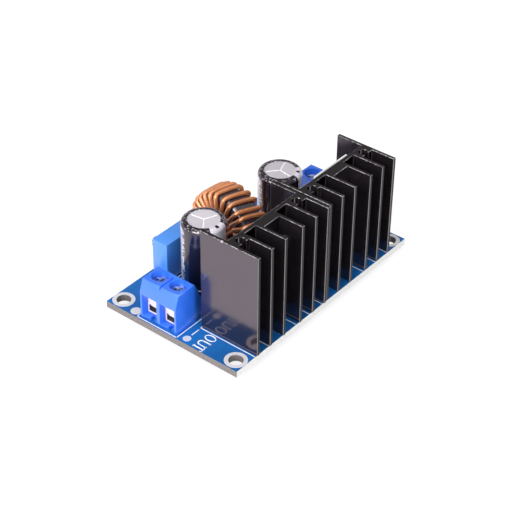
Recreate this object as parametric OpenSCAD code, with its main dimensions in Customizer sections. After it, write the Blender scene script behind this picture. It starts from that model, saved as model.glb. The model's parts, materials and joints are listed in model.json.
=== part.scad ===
// Step-down converter module: a drilled board with two finned heatsinks along its front edge.
// Behind them stand a wound ring choke, two electrolytic capacitors and a trimmer.
// A two-pole screw terminal stands at each end: output towards -X, input towards +X.
// The origin is the centre of the base, at the tips of the soldered leads, with +Z up.

/* [Board] */
// Length of the board
board_l = 60; // [58:0.5:68]
// Width of the board
board_w = 36.4; // [36:0.2:42]
// Thickness of the board
board_t = 1.6; // [0.8:0.1:2.4]
// Length of lead left standing below the board
lead_stub = 1.4; // [1.1:0.1:3]
// Diameter of the four mounting holes
mount_hole_d = 3.2; // [2.6:0.1:3.6]
// Distance from the board's ends to the mounting holes
mount_inset_x = 2.75; // [2.5:0.05:3.5]
// Distance from the board's sides to the mounting holes
mount_inset_y = 2.5; // [2.3:0.05:3.5]
// Gap round each lead in its hole
lead_clear = 0.15; // [0.05:0.05:0.3]
// Height of the solder cone on each lead
solder_h = 0.9; // [0.5:0.1:1]
// Width of the solder pad round each lead
solder_ring = 0.5; // [0.3:0.05:0.6]
// Width of the solder's tip round each lead
solder_tip = 0.15; // [0.1:0.05:0.25]

/* [Heatsinks] */
// Length of one heatsink along the board
sink_l = 23.6; // [21:0.1:26]
// Depth of one heatsink from its fin tips to its rear edges
sink_d = 15.2; // [14.6:0.1:16]
// Height of one heatsink
sink_h = 25; // [24:0.5:36]
// Gap between the two heatsinks
sink_gap = 0.3; // [0.1:0.1:2]
// Distance from the board's front edge to the fin tips
sink_edge_gap = 0.1; // [0:0.1:0.5]
// Shift of the pair of heatsinks from the board's centre
sink_shift = 0.15; // [-1:0.05:1]
// Distance that the output heatsink stands ahead of the input heatsink
output_sink_ahead = 0.3; // [0:0.05:0.5]
// Thickness of the fins and end plates
fin_t = 0.8; // [0.7:0.05:1.2]
// Distance of the two middle fins from the heatsink's centre
fin_inner_x = 2.8; // [2.6:0.05:3]
// Distance of the two outer fins from the heatsink's centre
fin_outer_x = 7.2; // [6.8:0.05:7.5]
// Depth of the bay behind the web
rear_bay_d = 6.5; // [6.4:0.1:7.4]
// Thickness of the web between the fins
web_t = 1; // [0.8:0.05:2]
// Thickness of the web where the screw is tapped
web_boss_t = 2.6; // [2:0.1:4]
// Thickness of the blocks that hold the solder pins
channel_block_t = 2.9; // [2.7:0.1:3.6]
// Diameter of the solder pins' channels
channel_d = 2; // [1.8:0.1:2.2]
// Width of the slot that opens each channel
channel_slot = 1.4; // [1:0.1:1.6]
// Distance of each channel from the heatsink's centre
channel_x = 9.1; // [8.9:0.05:9.3]
// Distance from the web's rear face to each channel's centre
channel_y = 1.8; // [1.6:0.05:2]
// Gap round each solder pin in its channel
channel_clear = 0.03; // [0.01:0.01:0.06]
// Length of each solder pin inside its channel
sink_pin_grip = 7; // [4:0.5:12]

/* [Power devices] */
// Width of the packages
package_w = 10.2; // [9.8:0.1:10.6]
// Thickness of the packages
package_t = 4.5; // [4.2:0.1:4.8]
// Height of the moulded bodies
package_body_h = 9.2; // [8.6:0.1:9.4]
// Thickness of the metal tabs
tab_t = 1.3; // [1:0.05:1.5]
// Height of the tabs, from the lower end in the body to the top
tab_h = 15; // [14.6:0.1:15.4]
// Diameter of the hole in each tab
tab_hole_d = 3.8; // [3.4:0.1:4]
// Distance from the top of each tab to its hole
tab_hole_drop = 2.8; // [2.6:0.1:3]
// Distance from the heatsink's top down to the top of the tabs
tab_drop = 4.8; // [4.5:0.1:6]
// Distance from the back of the tabs to the leads
lead_y = 2.4; // [2.2:0.05:2.6]
// Width of the flat leads
flat_lead_w = 0.8; // [0.6:0.05:0.9]
// Thickness of the flat leads
flat_lead_t = 0.5; // [0.4:0.05:0.6]
// Length of lead held in the moulded bodies
lead_root = 1.2; // [0.8:0.1:2]
// Spacing of the diode's three leads
diode_pitch = 2.54; // [2.2:0.02:2.6]
// Spacing of the regulator's five leads
regulator_pitch = 1.7; // [1.6:0.05:1.8]
// Distance that the regulator's second and fourth leads are cranked back
crank = 3.4; // [2.4:0.1:3.6]
// Thickness of the insulating pads
pad_t = 0.3; // [0.2:0.05:0.5]
// Width of the insulating pads
pad_w = 11.4; // [10.8:0.1:12.4]
// Height of the insulating pads
pad_h = 20.4; // [19.8:0.1:21]
// Height of the pads' top edges above the heatsinks
pad_rise = 0.2; // [0:0.05:0.5]
// Distance that the diode's pad sits lower than the regulator's
diode_pad_drop = 0.6; // [0:0.05:0.7]
// Diameter of the screws that clamp the packages
screw_d = 3; // [2.5:0.1:3.2]
// Gap round each screw in its pad
pad_hole_clear = 0.2; // [0.1:0.05:0.3]
// Diameter of the screw heads
screw_head_d = 5.4; // [4.8:0.1:5.6]
// Height of the screw heads
screw_head_h = 2.1; // [1.6:0.1:2.3]
// Distance that the screws stand out of the web's front
screw_past = 0.6; // [0.2:0.1:1]
// Width of the slots of the cross recesses
recess_w = 0.7; // [0.5:0.05:0.9]
// Depth of the cross recesses
recess_h = 1.1; // [0.8:0.1:1.3]

/* [Choke] */
// Outer diameter of the ring core
core_od = 16.5; // [15:0.1:16.8]
// Inner diameter of the ring core
core_id = 9.8; // [9.6:0.1:10.4]
// Width of the ring core along its axis
core_w = 5.7; // [4:0.1:6]
// Radius of the core's rounded edges
core_round = 0.8; // [0.4:0.1:1.2]
// Diameter of the winding wire
wire_d = 1; // [0.8:0.05:1.05]
// Gap between the wire and the core
wire_clear = 0.03; // [0.01:0.01:0.06]
// Height of the bow of each turn over the rim
wire_bow = 0.1; // [0.05:0.05:0.3]
// Angle that each turn gains across the rim
rim_twist = 7; // [0:1:8]
// Place of the choke along the board
choke_x = -1.2; // [-1.8:0.1:1.5]
// Gap between the heatsinks and the choke
choke_gap = 1.1; // [0.8:0.1:1.5]
// Turn of the choke's axis from the board's length
choke_turn = -5; // [-8:0.5:8]

/* [Capacitors] */
// Diameter of the capacitors over their sleeves
cap_d = 10; // [8:0.1:10.4]
// Height of the capacitors above the board
cap_h = 18; // [14:0.5:24]
// Thickness of the sleeves
sleeve_t = 0.15; // [0.1:0.05:0.3]
// Diameter of the bare disc that each sleeve leaves on top
cap_window_d = 7.2; // [6:0.1:7.6]
// Rounding of the top edge of the cans
cap_round = 0.9; // [0.5:0.1:1.2]
// Height of the can's lower edge above the board
can_lift = 0.5; // [0.3:0.1:1]
// Height of the rolled bead round each can
bead_z = 2.9; // [2.7:0.1:4]
// Radius of the rolled bead
bead_r = 0.9; // [0.6:0.1:1.2]
// Depth of the rolled bead
bead_depth = 0.45; // [0.3:0.05:0.5]
// Diameter of the rubber bungs
bung_d = 7.8; // [6.4:0.1:7.8]
// Thickness of the rubber bungs
bung_h = 2; // [1:0.1:2.4]
// Diameter of the capacitors' leads
cap_lead_d = 0.6; // [0.5:0.05:0.8]
// Spacing of the capacitors' leads
cap_lead_pitch = 5; // [3.5:0.1:5]
// Width of the score lines on the can's top
score_w = 0.3; // [0.2:0.05:0.4]
// Depth of the score lines on the can's top
score_depth = 0.12; // [0.05:0.01:0.2]
// Place of the output capacitor along the board
output_cap_x = -12.5; // [-13:0.1:-10.6]
// Place of the output capacitor behind the heatsinks, as a share of the depth of the board there
output_cap_share = 0.395; // [0.36:0.005:0.43]
// Place of the input capacitor along the board
input_cap_x = 12.6; // [10:0.1:13.4]
// Place of the input capacitor behind the heatsinks, as a share of the depth of the board there
input_cap_share = 0.36; // [0.33:0.005:0.41]
// Turn of the output capacitor's scored lines
output_cap_turn = 98; // [0:1:119]
// Turn of the input capacitor's scored lines
input_cap_turn = 20; // [0:1:119]

/* [Terminals] */
// Spacing of the poles
pole_pitch = 5; // [5:0.02:5.2]
// Depth of the terminal housings
term_d = 8.6; // [8.5:0.1:9.2]
// Height of the terminal housings
term_h = 9.8; // [9.4:0.1:11]
// Height at which the sloping front starts
slope_z = 7; // [6.6:0.1:7.4]
// Distance that the front slopes back
slope_x = 1; // [0.4:0.1:1.2]
// Depth of the flat top
top_d = 5; // [4.8:0.1:5.2]
// Height at which the rear chamfer starts
chamfer_z = 5; // [4.8:0.1:6]
// Width of each wire mouth
mouth_w = 4.1; // [4:0.02:4.1]
// Height of the top of each wire mouth
mouth_top = 6.2; // [6.1:0.05:6.4]
// Thickness of the floor under the clamps
floor_t = 0.6; // [0.3:0.05:0.7]
// Width of the notch in each mouth's floor
notch_w = 1.6; // [1:0.05:1.8]
// Depth of the notch in each mouth's floor
notch_d = 1.1; // [0.6:0.1:1.5]
// Distance of each notch from the middle of its mouth
notch_shift = 0.9; // [0.2:0.05:1]
// Depth of the clamp chambers
chamber_d = 7.1; // [7.05:0.05:7.4]
// Distance from the front to the wire clamps
cage_setback = 1.7; // [1.2:0.1:1.75]
// Depth of the wire clamps
cage_d = 4.2; // [4:0.05:4.25]
// Gap beside each clamp in its chamber
cage_clear = 0.1; // [0.05:0.01:0.2]
// Height of each clamp's lower edge
cage_z = 0.8; // [0.7:0.05:0.9]
// Thickness of each clamp's lower wall
cage_floor_t = 0.45; // [0.3:0.05:0.5]
// Thickness of each clamp's side walls
cage_wall_t = 0.4; // [0.3:0.05:0.5]
// Height of the opening in each clamp
cage_gap = 1.65; // [1.6:0.05:1.7]
// Height of each clamp's threaded block
cage_block_h = 2.3; // [1.8:0.1:2.3]
// Diameter of the clamp screws
clamp_screw_d = 3; // [2.5:0.1:3]
// Gap round each clamp screw
clamp_clear = 0.05; // [0.02:0.01:0.09]
// Diameter of the clamp screws' heads
clamp_head_d = 3.6; // [3.4:0.1:3.7]
// Height of the clamp screws' heads
clamp_head_h = 1.5; // [1.2:0.1:1.8]
// Diameter of the screwdriver wells
well_d = 3.9; // [3.8:0.05:4]
// Thickness of the shelf under each screw head
shelf_t = 0.7; // [0.5:0.05:0.8]
// Thickness of the contact plates
plate_t = 0.5; // [0.4:0.05:0.5]
// Width of the contact plates
plate_w = 2.6; // [2:0.1:2.8]
// Diameter of the terminals' pins
term_pin_d = 1; // [0.8:0.05:1]
// Width of the groove between the poles
groove_w = 0.4; // [0.2:0.05:0.6]
// Depth of the groove between the poles
groove_h = 0.7; // [0.3:0.05:1]
// Depth of the rebate on one side and of the rail on the other
rail_t = 0.4; // [0.3:0.05:0.4]
// Width of the rebate on the side
rebate_w = 1.4; // [1.2:0.1:1.6]
// Gap between a rail and the rebate of the next block
rail_clear = 0.15; // [0.05:0.05:0.3]
// Distance from the board's end to the output terminal
output_edge_gap = 0.8; // [0.3:0.1:1.2]
// Distance from the board's end to the input terminal
input_edge_gap = 0.2; // [0:0.1:0.8]
// Gap between the heatsinks' depth and the output terminal
output_term_gap = 1.8; // [1.3:0.05:3.9]
// Gap between the heatsinks' depth and the input terminal
input_term_gap = 1.05; // [1:0.05:3.9]

/* [Trimmer] */
// Length of the trimmer
trim_l = 9.5; // [9:0.1:10]
// Width of the trimmer
trim_w = 4.1; // [3.8:0.1:4.4]
// Height of the trimmer
trim_h = 10; // [8:0.1:11]
// Height of the feet under the trimmer
trim_foot_h = 0.4; // [0.2:0.05:0.6]
// Diameter of the trimmer's feet
trim_foot_d = 1.2; // [0.8:0.1:1.6]
// Place of the trimmer's end along the board
trim_x = -16.8; // [-17.2:0.1:-15.8]
// Place of the trimmer behind the heatsinks, as a share of the depth of the board there
trim_share = 0.82; // [0.815:0.005:0.86]
// Diameter of the adjusting screw
trim_screw_d = 2.2; // [1.8:0.1:2.4]
// Length of the adjusting screw inside the trimmer
trim_screw_grip = 1.6; // [1:0.1:1.8]
// Distance that the adjusting screw stands out
trim_screw_out = 0.6; // [0.3:0.1:1]
// Distance from the trimmer's end to the screw's centre
trim_screw_inset = 1.35; // [1.3:0.05:2]
// Distance from the trimmer's top to the screw's centre
trim_screw_drop = 1.5; // [1.3:0.05:2.2]
// Gap round the adjusting screw
trim_screw_clear = 0.05; // [0.02:0.01:0.09]
// Width of the adjusting screw's slot
trim_slot_w = 0.5; // [0.3:0.05:0.7]
// Depth of the adjusting screw's slot
trim_slot_h = 0.4; // [0.2:0.05:0.6]
// Spacing of the trimmer's pins
trim_pitch = 2.54; // [2.5:0.02:3]
// Diameter of the trimmer's pins
trim_pin_d = 0.5; // [0.4:0.05:0.6]

/* [Chips] */
// Length of the chip capacitors
chip_cap_l = 3.2; // [2:0.1:3.2]
// Width of the chip capacitors
chip_cap_w = 1.6; // [1.2:0.1:1.6]
// Height of the chip capacitors
chip_cap_h = 1.2; // [0.8:0.1:1.4]
// Length of the chip resistors
chip_res_l = 2; // [1.6:0.1:2.2]
// Width of the chip resistors
chip_res_w = 1.25; // [0.8:0.05:1.3]
// Height of the chip resistors
chip_res_h = 0.5; // [0.4:0.05:0.6]
// Length of the metal end of each chip
chip_end = 0.4; // [0.2:0.05:0.5]
// Distance from the board's input end to the nearest chip's centre
chip_inset = 8.5; // [8:0.1:9]
// Spacing of the chip resistors
chip_res_pitch = 3.5; // [3:0.1:4]
// Spacing of the chip capacitors
chip_cap_pitch = 4.4; // [4.2:0.1:5]
// Place of the chips behind the heatsinks, as a share of the depth of the board there
chip_share = 0.83; // [0.78:0.005:0.87]

/* [Hidden] */

$fn = 48;
// Overshoot that lets a cut pass clean through a face
past = 1;

board_z = lead_stub;
top_z = lead_stub + board_t;

// Heatsinks: the input heatsink's front and rear edges and web, and how far each block is set off from it
sink_front_y = -board_w / 2 + sink_edge_gap;
sink_rear_y = sink_front_y + sink_d;
web_rear_y = sink_rear_y - rear_bay_d;
output_sink_x = sink_shift - (sink_gap + sink_l) / 2;
input_sink_x = sink_shift + (sink_gap + sink_l) / 2;
output_sink = [output_sink_x, -output_sink_ahead];
input_sink = [input_sink_x, 0];
sinks = [output_sink, input_sink];
plate_x = (sink_l - fin_t) / 2;
sink_pin_r = channel_d / 2 - channel_clear;
channel_centre_y = web_rear_y - channel_y;
fin_xs = [-fin_outer_x, -fin_inner_x, fin_inner_x, fin_outer_x];

// The board behind the heatsinks: each share of its depth is a place across the board
rear_depth = board_w / 2 - sink_rear_y;
function place_behind(share) = sink_rear_y + share * rear_depth;

// Power devices: rear faces counted from the web, heights from the board
tab_back_y = web_rear_y + pad_t;
tab_top_z = top_z + sink_h - tab_drop;
tab_hole_z = tab_top_z - tab_hole_drop;
tab_low_z = tab_top_z - tab_h;
body_low_z = tab_low_z - 0.6;
body_high_z = body_low_z + package_body_h;
tab_neck_w = package_w - 1.6;
lead_line_y = tab_back_y + lead_y;
crank_high_z = body_low_z - 0.7;
crank_low_z = top_z + 1;
diode_lead_xs = [for (i = [-1 : 1]) i * diode_pitch];
regulator_lead_xs = [for (i = [-2 : 2]) i * regulator_pitch];
regulator_cranks = [0, crank, 0, crank, 0];
flat_lead_r = norm([flat_lead_w, flat_lead_t]) / 2;

// Choke: the wire's path round the core's section, and where each turn crosses the rim and the bore
choke_r = core_od / 2 + wire_clear + wire_d + wire_bow;
choke_y = sink_rear_y + choke_gap + choke_r;
choke_z = top_z + choke_r;
wire_out_r = core_od / 2 + wire_clear + wire_d / 2;
wire_in_r = core_id / 2 - wire_clear - wire_d / 2;
wire_side = core_w / 2 + wire_clear + wire_d / 2;
wire_bend = 0.9;
rim_angles = [
    -163, -149, -135, -121, -107, -93, -79, -66, -53, -41, -29, -17, -6,
    11.5, 25, 40.5, 50, 63, 78, 93, 108, 122, 136, 151
];
turns = len(rim_angles) - 1;
bore_step = (rim_angles[turns] - rim_angles[0]) / turns;
bend_steps = 3;
wire_sides = 8;

// Capacitors
can_r = cap_d / 2 - sleeve_t;
score_step = 120;

// Terminals: heights inside the housing, counted from the board
term_w = 2 * pole_pitch;
well_x = cage_setback + cage_d / 2;
cage_w = mouth_w - 2 * cage_clear;
cage_gap_z = cage_z + cage_floor_t;
cage_block_z = cage_gap_z + cage_gap;
plate_top_z = cage_block_z - clamp_clear;
head_z = mouth_top + shelf_t;
term_pin_x = cage_setback + cage_d + cage_clear + term_pin_d / 2;
poles = [-0.5, 0.5];
output_front_x = -board_l / 2 + output_edge_gap;
input_front_x = board_l / 2 - input_edge_gap;
output_term_y = sink_rear_y + output_term_gap + term_w / 2;
input_term_y = sink_rear_y + input_term_gap + term_w / 2;

// Trimmer: the screw's centre and the pins' line
trim_screw_x = trim_x + trim_screw_inset;
trim_screw_z = top_z + trim_h - trim_screw_drop;
trim_y = place_behind(trim_share);
trim_rear_y = trim_y + trim_w / 2;
trim_pin_xs = [for (i = [-1 : 1]) trim_x + trim_l / 2 + i * trim_pitch];

// Chips: resistors nearest the board's input end, then the capacitors
chip_y = place_behind(chip_share);
chip_res_xs = [for (i = [1, 0]) board_l / 2 - chip_inset - i * chip_res_pitch];
chip_cap_xs = [for (i = [2, 1]) chip_res_xs[0] - i * chip_cap_pitch];

cap_places = [
    [output_cap_x, place_behind(output_cap_share), output_cap_turn],
    [input_cap_x, place_behind(input_cap_share), input_cap_turn]
];

// Every soldered lead: place on the board, radius of the circle that holds its section, and if it's flat
function flat_leads(sink, xs, cranks) =
    [for (i = [0 : len(xs) - 1]) [sink.x + xs[i], sink.y + lead_line_y + cranks[i], flat_lead_r, true]];
function terminal_leads(front_x, face, y) =
    [for (p = poles) [front_x - face * term_pin_x, y + p * pole_pitch, term_pin_d / 2, false]];
function choke_point(axial, radial, angle) = [
    choke_x + axial * cos(choke_turn) + radial * sin(angle) * sin(choke_turn),
    choke_y + axial * sin(choke_turn) - radial * sin(angle) * cos(choke_turn),
    choke_z + radial * cos(angle)
];
choke_leads = [for (i = [0, turns]) choke_point(0, wire_out_r + wire_bow, rim_angles[i])];
leads = concat(
    [for (k = sinks, s = [-1, 1]) [k.x + s * channel_x, k.y + channel_centre_y, sink_pin_r, false]],
    flat_leads(output_sink, diode_lead_xs, [0, 0, 0]),
    flat_leads(input_sink, regulator_lead_xs, regulator_cranks),
    [for (c = cap_places, s = [-0.5, 0.5]) [c.x, c.y + s * cap_lead_pitch, cap_lead_d / 2, false]],
    [for (p = choke_leads) [p.x, p.y, wire_d / 2, false]],
    terminal_leads(output_front_x, -1, output_term_y),
    terminal_leads(input_front_x, 1, input_term_y),
    [for (x = trim_pin_xs) [x, trim_y, trim_pin_d / 2, false]]
);

// A straight round lead from the tips up to the given height
module round_lead(x, y, d, high_z) {
    translate([x, y, 0])
        cylinder(d = d, h = high_z);
}

module circuit_board() {
    color("#195fa5")
    difference() {
        translate([-board_l / 2, -board_w / 2, board_z])
            cube([board_l, board_w, board_t]);
        for (sx = [-1, 1], sy = [-1, 1])
            translate([
                sx * (board_l / 2 - mount_inset_x),
                sy * (board_w / 2 - mount_inset_y),
                board_z - past
            ])
                cylinder(d = mount_hole_d, h = board_t + 2 * past);
        for (p = leads)
            translate([p.x, p.y, board_z - past])
                cylinder(r = p[2] + lead_clear, h = board_t + 2 * past);
    }
}

module solder_joints() {
    color("#c9ccd0")
    for (p = leads)
        translate([p.x, p.y, board_z - solder_h])
            difference() {
                cylinder(r1 = p[2] + solder_tip, r2 = p[2] + solder_ring, h = solder_h);
                if (p[3])
                    translate([-flat_lead_w / 2, -flat_lead_t / 2, -past])
                        cube([flat_lead_w, flat_lead_t, solder_h + 2 * past]);
                else
                    translate([0, 0, -past])
                        cylinder(r = p[2], h = solder_h + 2 * past);
            }
}

// One solder pin's channel, round at the back and open to the front through its slot
module channel_cut() {
    circle(d = channel_d);
    translate([-channel_slot / 2, -channel_block_t])
        square([channel_slot, channel_block_t]);
}

// The extruded section, with x from its centre and y from the web's rear face
module heatsink_section() {
    front_y = sink_front_y - web_rear_y;
    difference() {
        union() {
            translate([-sink_l / 2, -web_t])
                square([sink_l, web_t]);
            translate([-fin_inner_x, -web_boss_t])
                square([2 * fin_inner_x, web_boss_t]);
            for (s = [-1, 1])
                translate([min(s * plate_x, s * fin_outer_x), -channel_block_t])
                    square([plate_x - fin_outer_x, channel_block_t]);
            for (s = [-1, 1])
                translate([s * plate_x - fin_t / 2, front_y])
                    square([fin_t, sink_d]);
            for (x = fin_xs)
                translate([x - fin_t / 2, front_y])
                    square([fin_t, -front_y]);
        }
        for (s = [-1, 1])
            translate([s * channel_x, -channel_y])
                channel_cut();
    }
}

module heatsink(place) {
    color("#1b1b1d")
    difference() {
        translate([place.x, place.y + web_rear_y, top_z])
            linear_extrude(sink_h)
                heatsink_section();
        translate([place.x, place.y + web_rear_y + past, tab_hole_z])
            rotate([90, 0, 0])
                cylinder(d = screw_d, h = web_boss_t + 2 * past);
    }
}

module heatsink_pins() {
    color("#b9bcc0")
    for (k = sinks, s = [-1, 1])
        round_lead(k.x + s * channel_x, k.y + channel_centre_y, 2 * sink_pin_r, top_z + sink_pin_grip);
}

// The metal tab: a wide head with the hole, on a narrower plate that the body is moulded round
module package_tab(place) {
    color("#c4c7cb")
    difference() {
        union() {
            translate([place.x - package_w / 2, place.y + tab_back_y, body_high_z])
                cube([package_w, tab_t, tab_top_z - body_high_z]);
            translate([place.x - tab_neck_w / 2, place.y + tab_back_y, tab_low_z])
                cube([tab_neck_w, tab_t, body_high_z - tab_low_z]);
        }
        translate([place.x, place.y + tab_back_y - past, tab_hole_z])
            rotate([-90, 0, 0])
                cylinder(d = tab_hole_d, h = tab_t + 2 * past);
    }
}

// One flat lead of even thickness, cranked back by the given distance between two heights
module flat_lead(x, y, back) {
    half = flat_lead_t / 2;
    mitre = half * tan(atan2(back, crank_high_z - crank_low_z) / 2);
    translate([x - flat_lead_w / 2, y, 0])
        rotate([90, 0, 90])
            linear_extrude(flat_lead_w)
                polygon([
                    [-half, body_low_z + lead_root], [half, body_low_z + lead_root],
                    [half, crank_high_z + mitre], [half + back, crank_low_z + mitre],
                    [half + back, 0], [back - half, 0],
                    [back - half, crank_low_z - mitre], [-half, crank_high_z - mitre]
                ]);
}

module package_leads(place, xs, cranks) {
    color("#b9bcc0")
    for (i = [0 : len(xs) - 1])
        flat_lead(place.x + xs[i], place.y + lead_line_y, cranks[i]);
}

// The moulded body, with a drafted rear and the shoulder that covers the plate's sides
module package_body(place, xs, cranks) {
    draft = 0.5;
    color("#232325")
    difference() {
        translate([place.x - package_w / 2, place.y + tab_back_y, 0])
            rotate([90, 0, 90])
                linear_extrude(package_w)
                    polygon([
                        [0, body_low_z], [package_t - draft, body_low_z],
                        [package_t, body_low_z + draft], [package_t, body_high_z - 2 * draft],
                        [package_t - draft, body_high_z], [0, body_high_z]
                    ]);
        package_tab(place);
        package_leads(place, xs, cranks);
    }
}

module insulating_pad(place, drop) {
    color("#e6e4df")
    difference() {
        translate([
            place.x - pad_w / 2,
            place.y + web_rear_y,
            top_z + sink_h + pad_rise - pad_h - drop
        ])
            cube([pad_w, pad_t, pad_h]);
        translate([place.x, place.y + web_rear_y - past, tab_hole_z])
            rotate([-90, 0, 0])
                cylinder(d = screw_d + 2 * pad_hole_clear, h = pad_t + 2 * past);
    }
}

// Two crossed slots at the origin, sunk from z = 0 downwards
module cross_recess(l) {
    for (a = [0, 90])
        rotate([0, 0, a])
            translate([-l / 2, -recess_w / 2, -recess_h])
                cube([l, recess_w, recess_h + past]);
}

module tab_screws() {
    shank = tab_t + pad_t + web_boss_t + screw_past;
    color("#c9ccd0")
    for (k = sinks)
        translate([k.x, k.y + tab_back_y + tab_t, tab_hole_z])
            rotate([-90, 0, 0])
                difference() {
                    union() {
                        cylinder(d = screw_head_d, h = screw_head_h - 0.5);
                        translate([0, 0, screw_head_h - 0.5])
                            cylinder(d1 = screw_head_d, d2 = screw_head_d - 1.4, h = 0.5);
                        translate([0, 0, -shank])
                            cylinder(d = screw_d, h = shank + 0.01);
                    }
                    translate([0, 0, screw_head_h])
                        cross_recess(0.55 * screw_head_d);
                }
}

module choke_core() {
    color("#2c2a2e")
    translate([choke_x, choke_y, choke_z])
        rotate([0, 90, choke_turn])
            rotate_extrude($fn = 96)
                translate([core_id / 2, -core_w / 2])
                    rounded_section((core_od - core_id) / 2, core_w, core_round);
}

// A rectangle with round corners, from the origin
module rounded_section(w, h, r) {
    translate([r, 0])
        square([w - 2 * r, h]);
    translate([0, r])
        square([w, h - 2 * r]);
    for (x = [r, w - r], y = [r, h - r])
        translate([x, y])
            circle(r);
}

// A quarter bend of the wire's path round one corner of the core's section
function bend(axial, radial, from) =
    [for (k = [0 : bend_steps])
        [axial + wire_bend * cos(from + 90 * k / bend_steps),
         radial + wire_bend * sin(from + 90 * k / bend_steps)]];

// The wire's path from the middle of the rim, down the side towards +X and through the bore
half_turn_in = concat(
    [[0, wire_out_r + wire_bow]],
    [for (k = [bend_steps : -1 : 0]) bend(wire_side - wire_bend, wire_out_r - wire_bend, 0)[k]],
    [for (k = [bend_steps : -1 : 0]) bend(wire_side - wire_bend, wire_in_r + wire_bend, 270)[k]]
);
// The same path back from the middle of the bore, up the other side to the rim
half_turn_out = concat(
    [[0, wire_in_r]],
    [for (k = [bend_steps : -1 : 0]) bend(wire_bend - wire_side, wire_in_r + wire_bend, 180)[k]],
    [for (k = [bend_steps : -1 : 0]) bend(wire_bend - wire_side, wire_out_r - wire_bend, 90)[k]]
);
half_count = len(half_turn_in);

function bore_angle(i) = rim_angles[0] + (i + 0.5) * bore_step;
function turned(from, to, k) = from + (to - from) * k / half_count;
function rim_exit(i, k) = rim_angles[i] + (k > 0 ? rim_twist / 2 : 0);
function rim_entry(i) = rim_angles[i] - rim_twist / 2;
function turn_points(i) = concat(
    [for (k = [0 : half_count - 1])
        choke_point(half_turn_in[k][0], half_turn_in[k][1], turned(rim_exit(i, k), bore_angle(i), k))],
    [for (k = [0 : half_count - 1])
        choke_point(half_turn_out[k][0], half_turn_out[k][1], turned(bore_angle(i), rim_entry(i + 1), k))]
);
function drop_to_tip(p) = [
    [p.x, p.y, 0],
    [p.x, p.y, min(p.z - wire_d, top_z)]
];
wire_path = concat(
    drop_to_tip(choke_leads[0]),
    [for (i = [0 : turns - 1]) each turn_points(i)],
    [choke_leads[1]],
    [for (i = [1 : -1 : 0]) drop_to_tip(choke_leads[1])[i]]
);

function unit(v) = v / norm(v);
function tangent(path, i) = unit(path[min(i + 1, len(path) - 1)] - path[max(i - 1, 0)]);
// The side direction of each ring, carried along the path so that the tube doesn't twist
function carried(side, along) = unit(side - (side * along) * along);
function sides_along(path, i = 0, last = [1, 0, 0], out = []) =
    i == len(path)
        ? out
        : let (next = carried(last, tangent(path, i)))
            sides_along(path, i + 1, next, concat(out, [next]));

// A tube of polygonal section along a path, closed at both ends
module tube(path, r, sides) {
    side = sides_along(path);
    rings = len(path);
    points = [
        for (i = [0 : rings - 1])
            let (across = cross(tangent(path, i), side[i]))
                for (k = [0 : sides - 1])
                    path[i] + r * (cos(360 * k / sides) * side[i] + sin(360 * k / sides) * across)
    ];
    walls = [
        for (i = [0 : rings - 2], k = [0 : sides - 1])
            let (n = (k + 1) % sides)
                [i * sides + k, (i + 1) * sides + k, (i + 1) * sides + n, i * sides + n]
    ];
    first_end = [for (k = [0 : sides - 1]) k];
    last_end = [for (k = [sides - 1 : -1 : 0]) (rings - 1) * sides + k];
    polyhedron(points = points, faces = concat(walls, [first_end], [last_end]));
}

module choke_winding() {
    color("#c8783c")
        tube(wire_path, wire_d / 2, wire_sides);
}

// Half of the can's outline grown by the given skin, from the axis outwards, with its rolled bead
module can_outline(skin) {
    r = can_r + skin;
    h = cap_h - can_lift - sleeve_t + skin;
    round = cap_round + skin;
    translate([0, can_lift])
        difference() {
            union() {
                square([r, h - round]);
                square([r - round, h]);
                translate([r - round, h - round])
                    circle(round);
            }
            translate([can_r + bead_r - bead_depth, bead_z - can_lift])
                circle(bead_r - skin);
        }
}

module capacitor_can(place) {
    color("#c9c6cc")
    translate([place.x, place.y, top_z])
        difference() {
            rotate_extrude()
                difference() {
                    can_outline(0);
                    translate([0, -past])
                        square([bung_d / 2, past + bung_h]);
                }
            for (i = [0 : 2])
                rotate([0, 0, place.z + i * score_step])
                    translate([0, -score_w / 2, cap_h - sleeve_t - score_depth])
                        cube([cap_window_d / 2 - 0.4, score_w, past]);
        }
}

module capacitor_sleeve(place) {
    color("#1c2233")
    translate([place.x, place.y, top_z])
        rotate_extrude()
            difference() {
                can_outline(sleeve_t);
                can_outline(0);
                translate([0, -past])
                    square([can_r - 0.3, can_lift + 2 * past]);
                translate([0, cap_h - past])
                    square([cap_window_d / 2, 2 * past]);
            }
}

module capacitor_bung(place) {
    color("#161616")
    translate([place.x, place.y, top_z])
        difference() {
            cylinder(d = bung_d, h = bung_h);
            for (s = [-0.5, 0.5])
                translate([0, s * cap_lead_pitch, -past])
                    cylinder(d = cap_lead_d, h = bung_h + 2 * past);
        }
}

module capacitor_leads(place) {
    color("#c9ccd0")
    for (s = [-0.5, 0.5])
        round_lead(place.x, place.y + s * cap_lead_pitch, cap_lead_d, top_z + bung_h);
}

// Sets a terminal piece, drawn with its mouths facing -X, at one end of the board
module at_terminal(front_x, face, y) {
    translate([front_x, y, top_z])
        rotate([0, 0, face < 0 ? 0 : 180])
            children();
}

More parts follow.
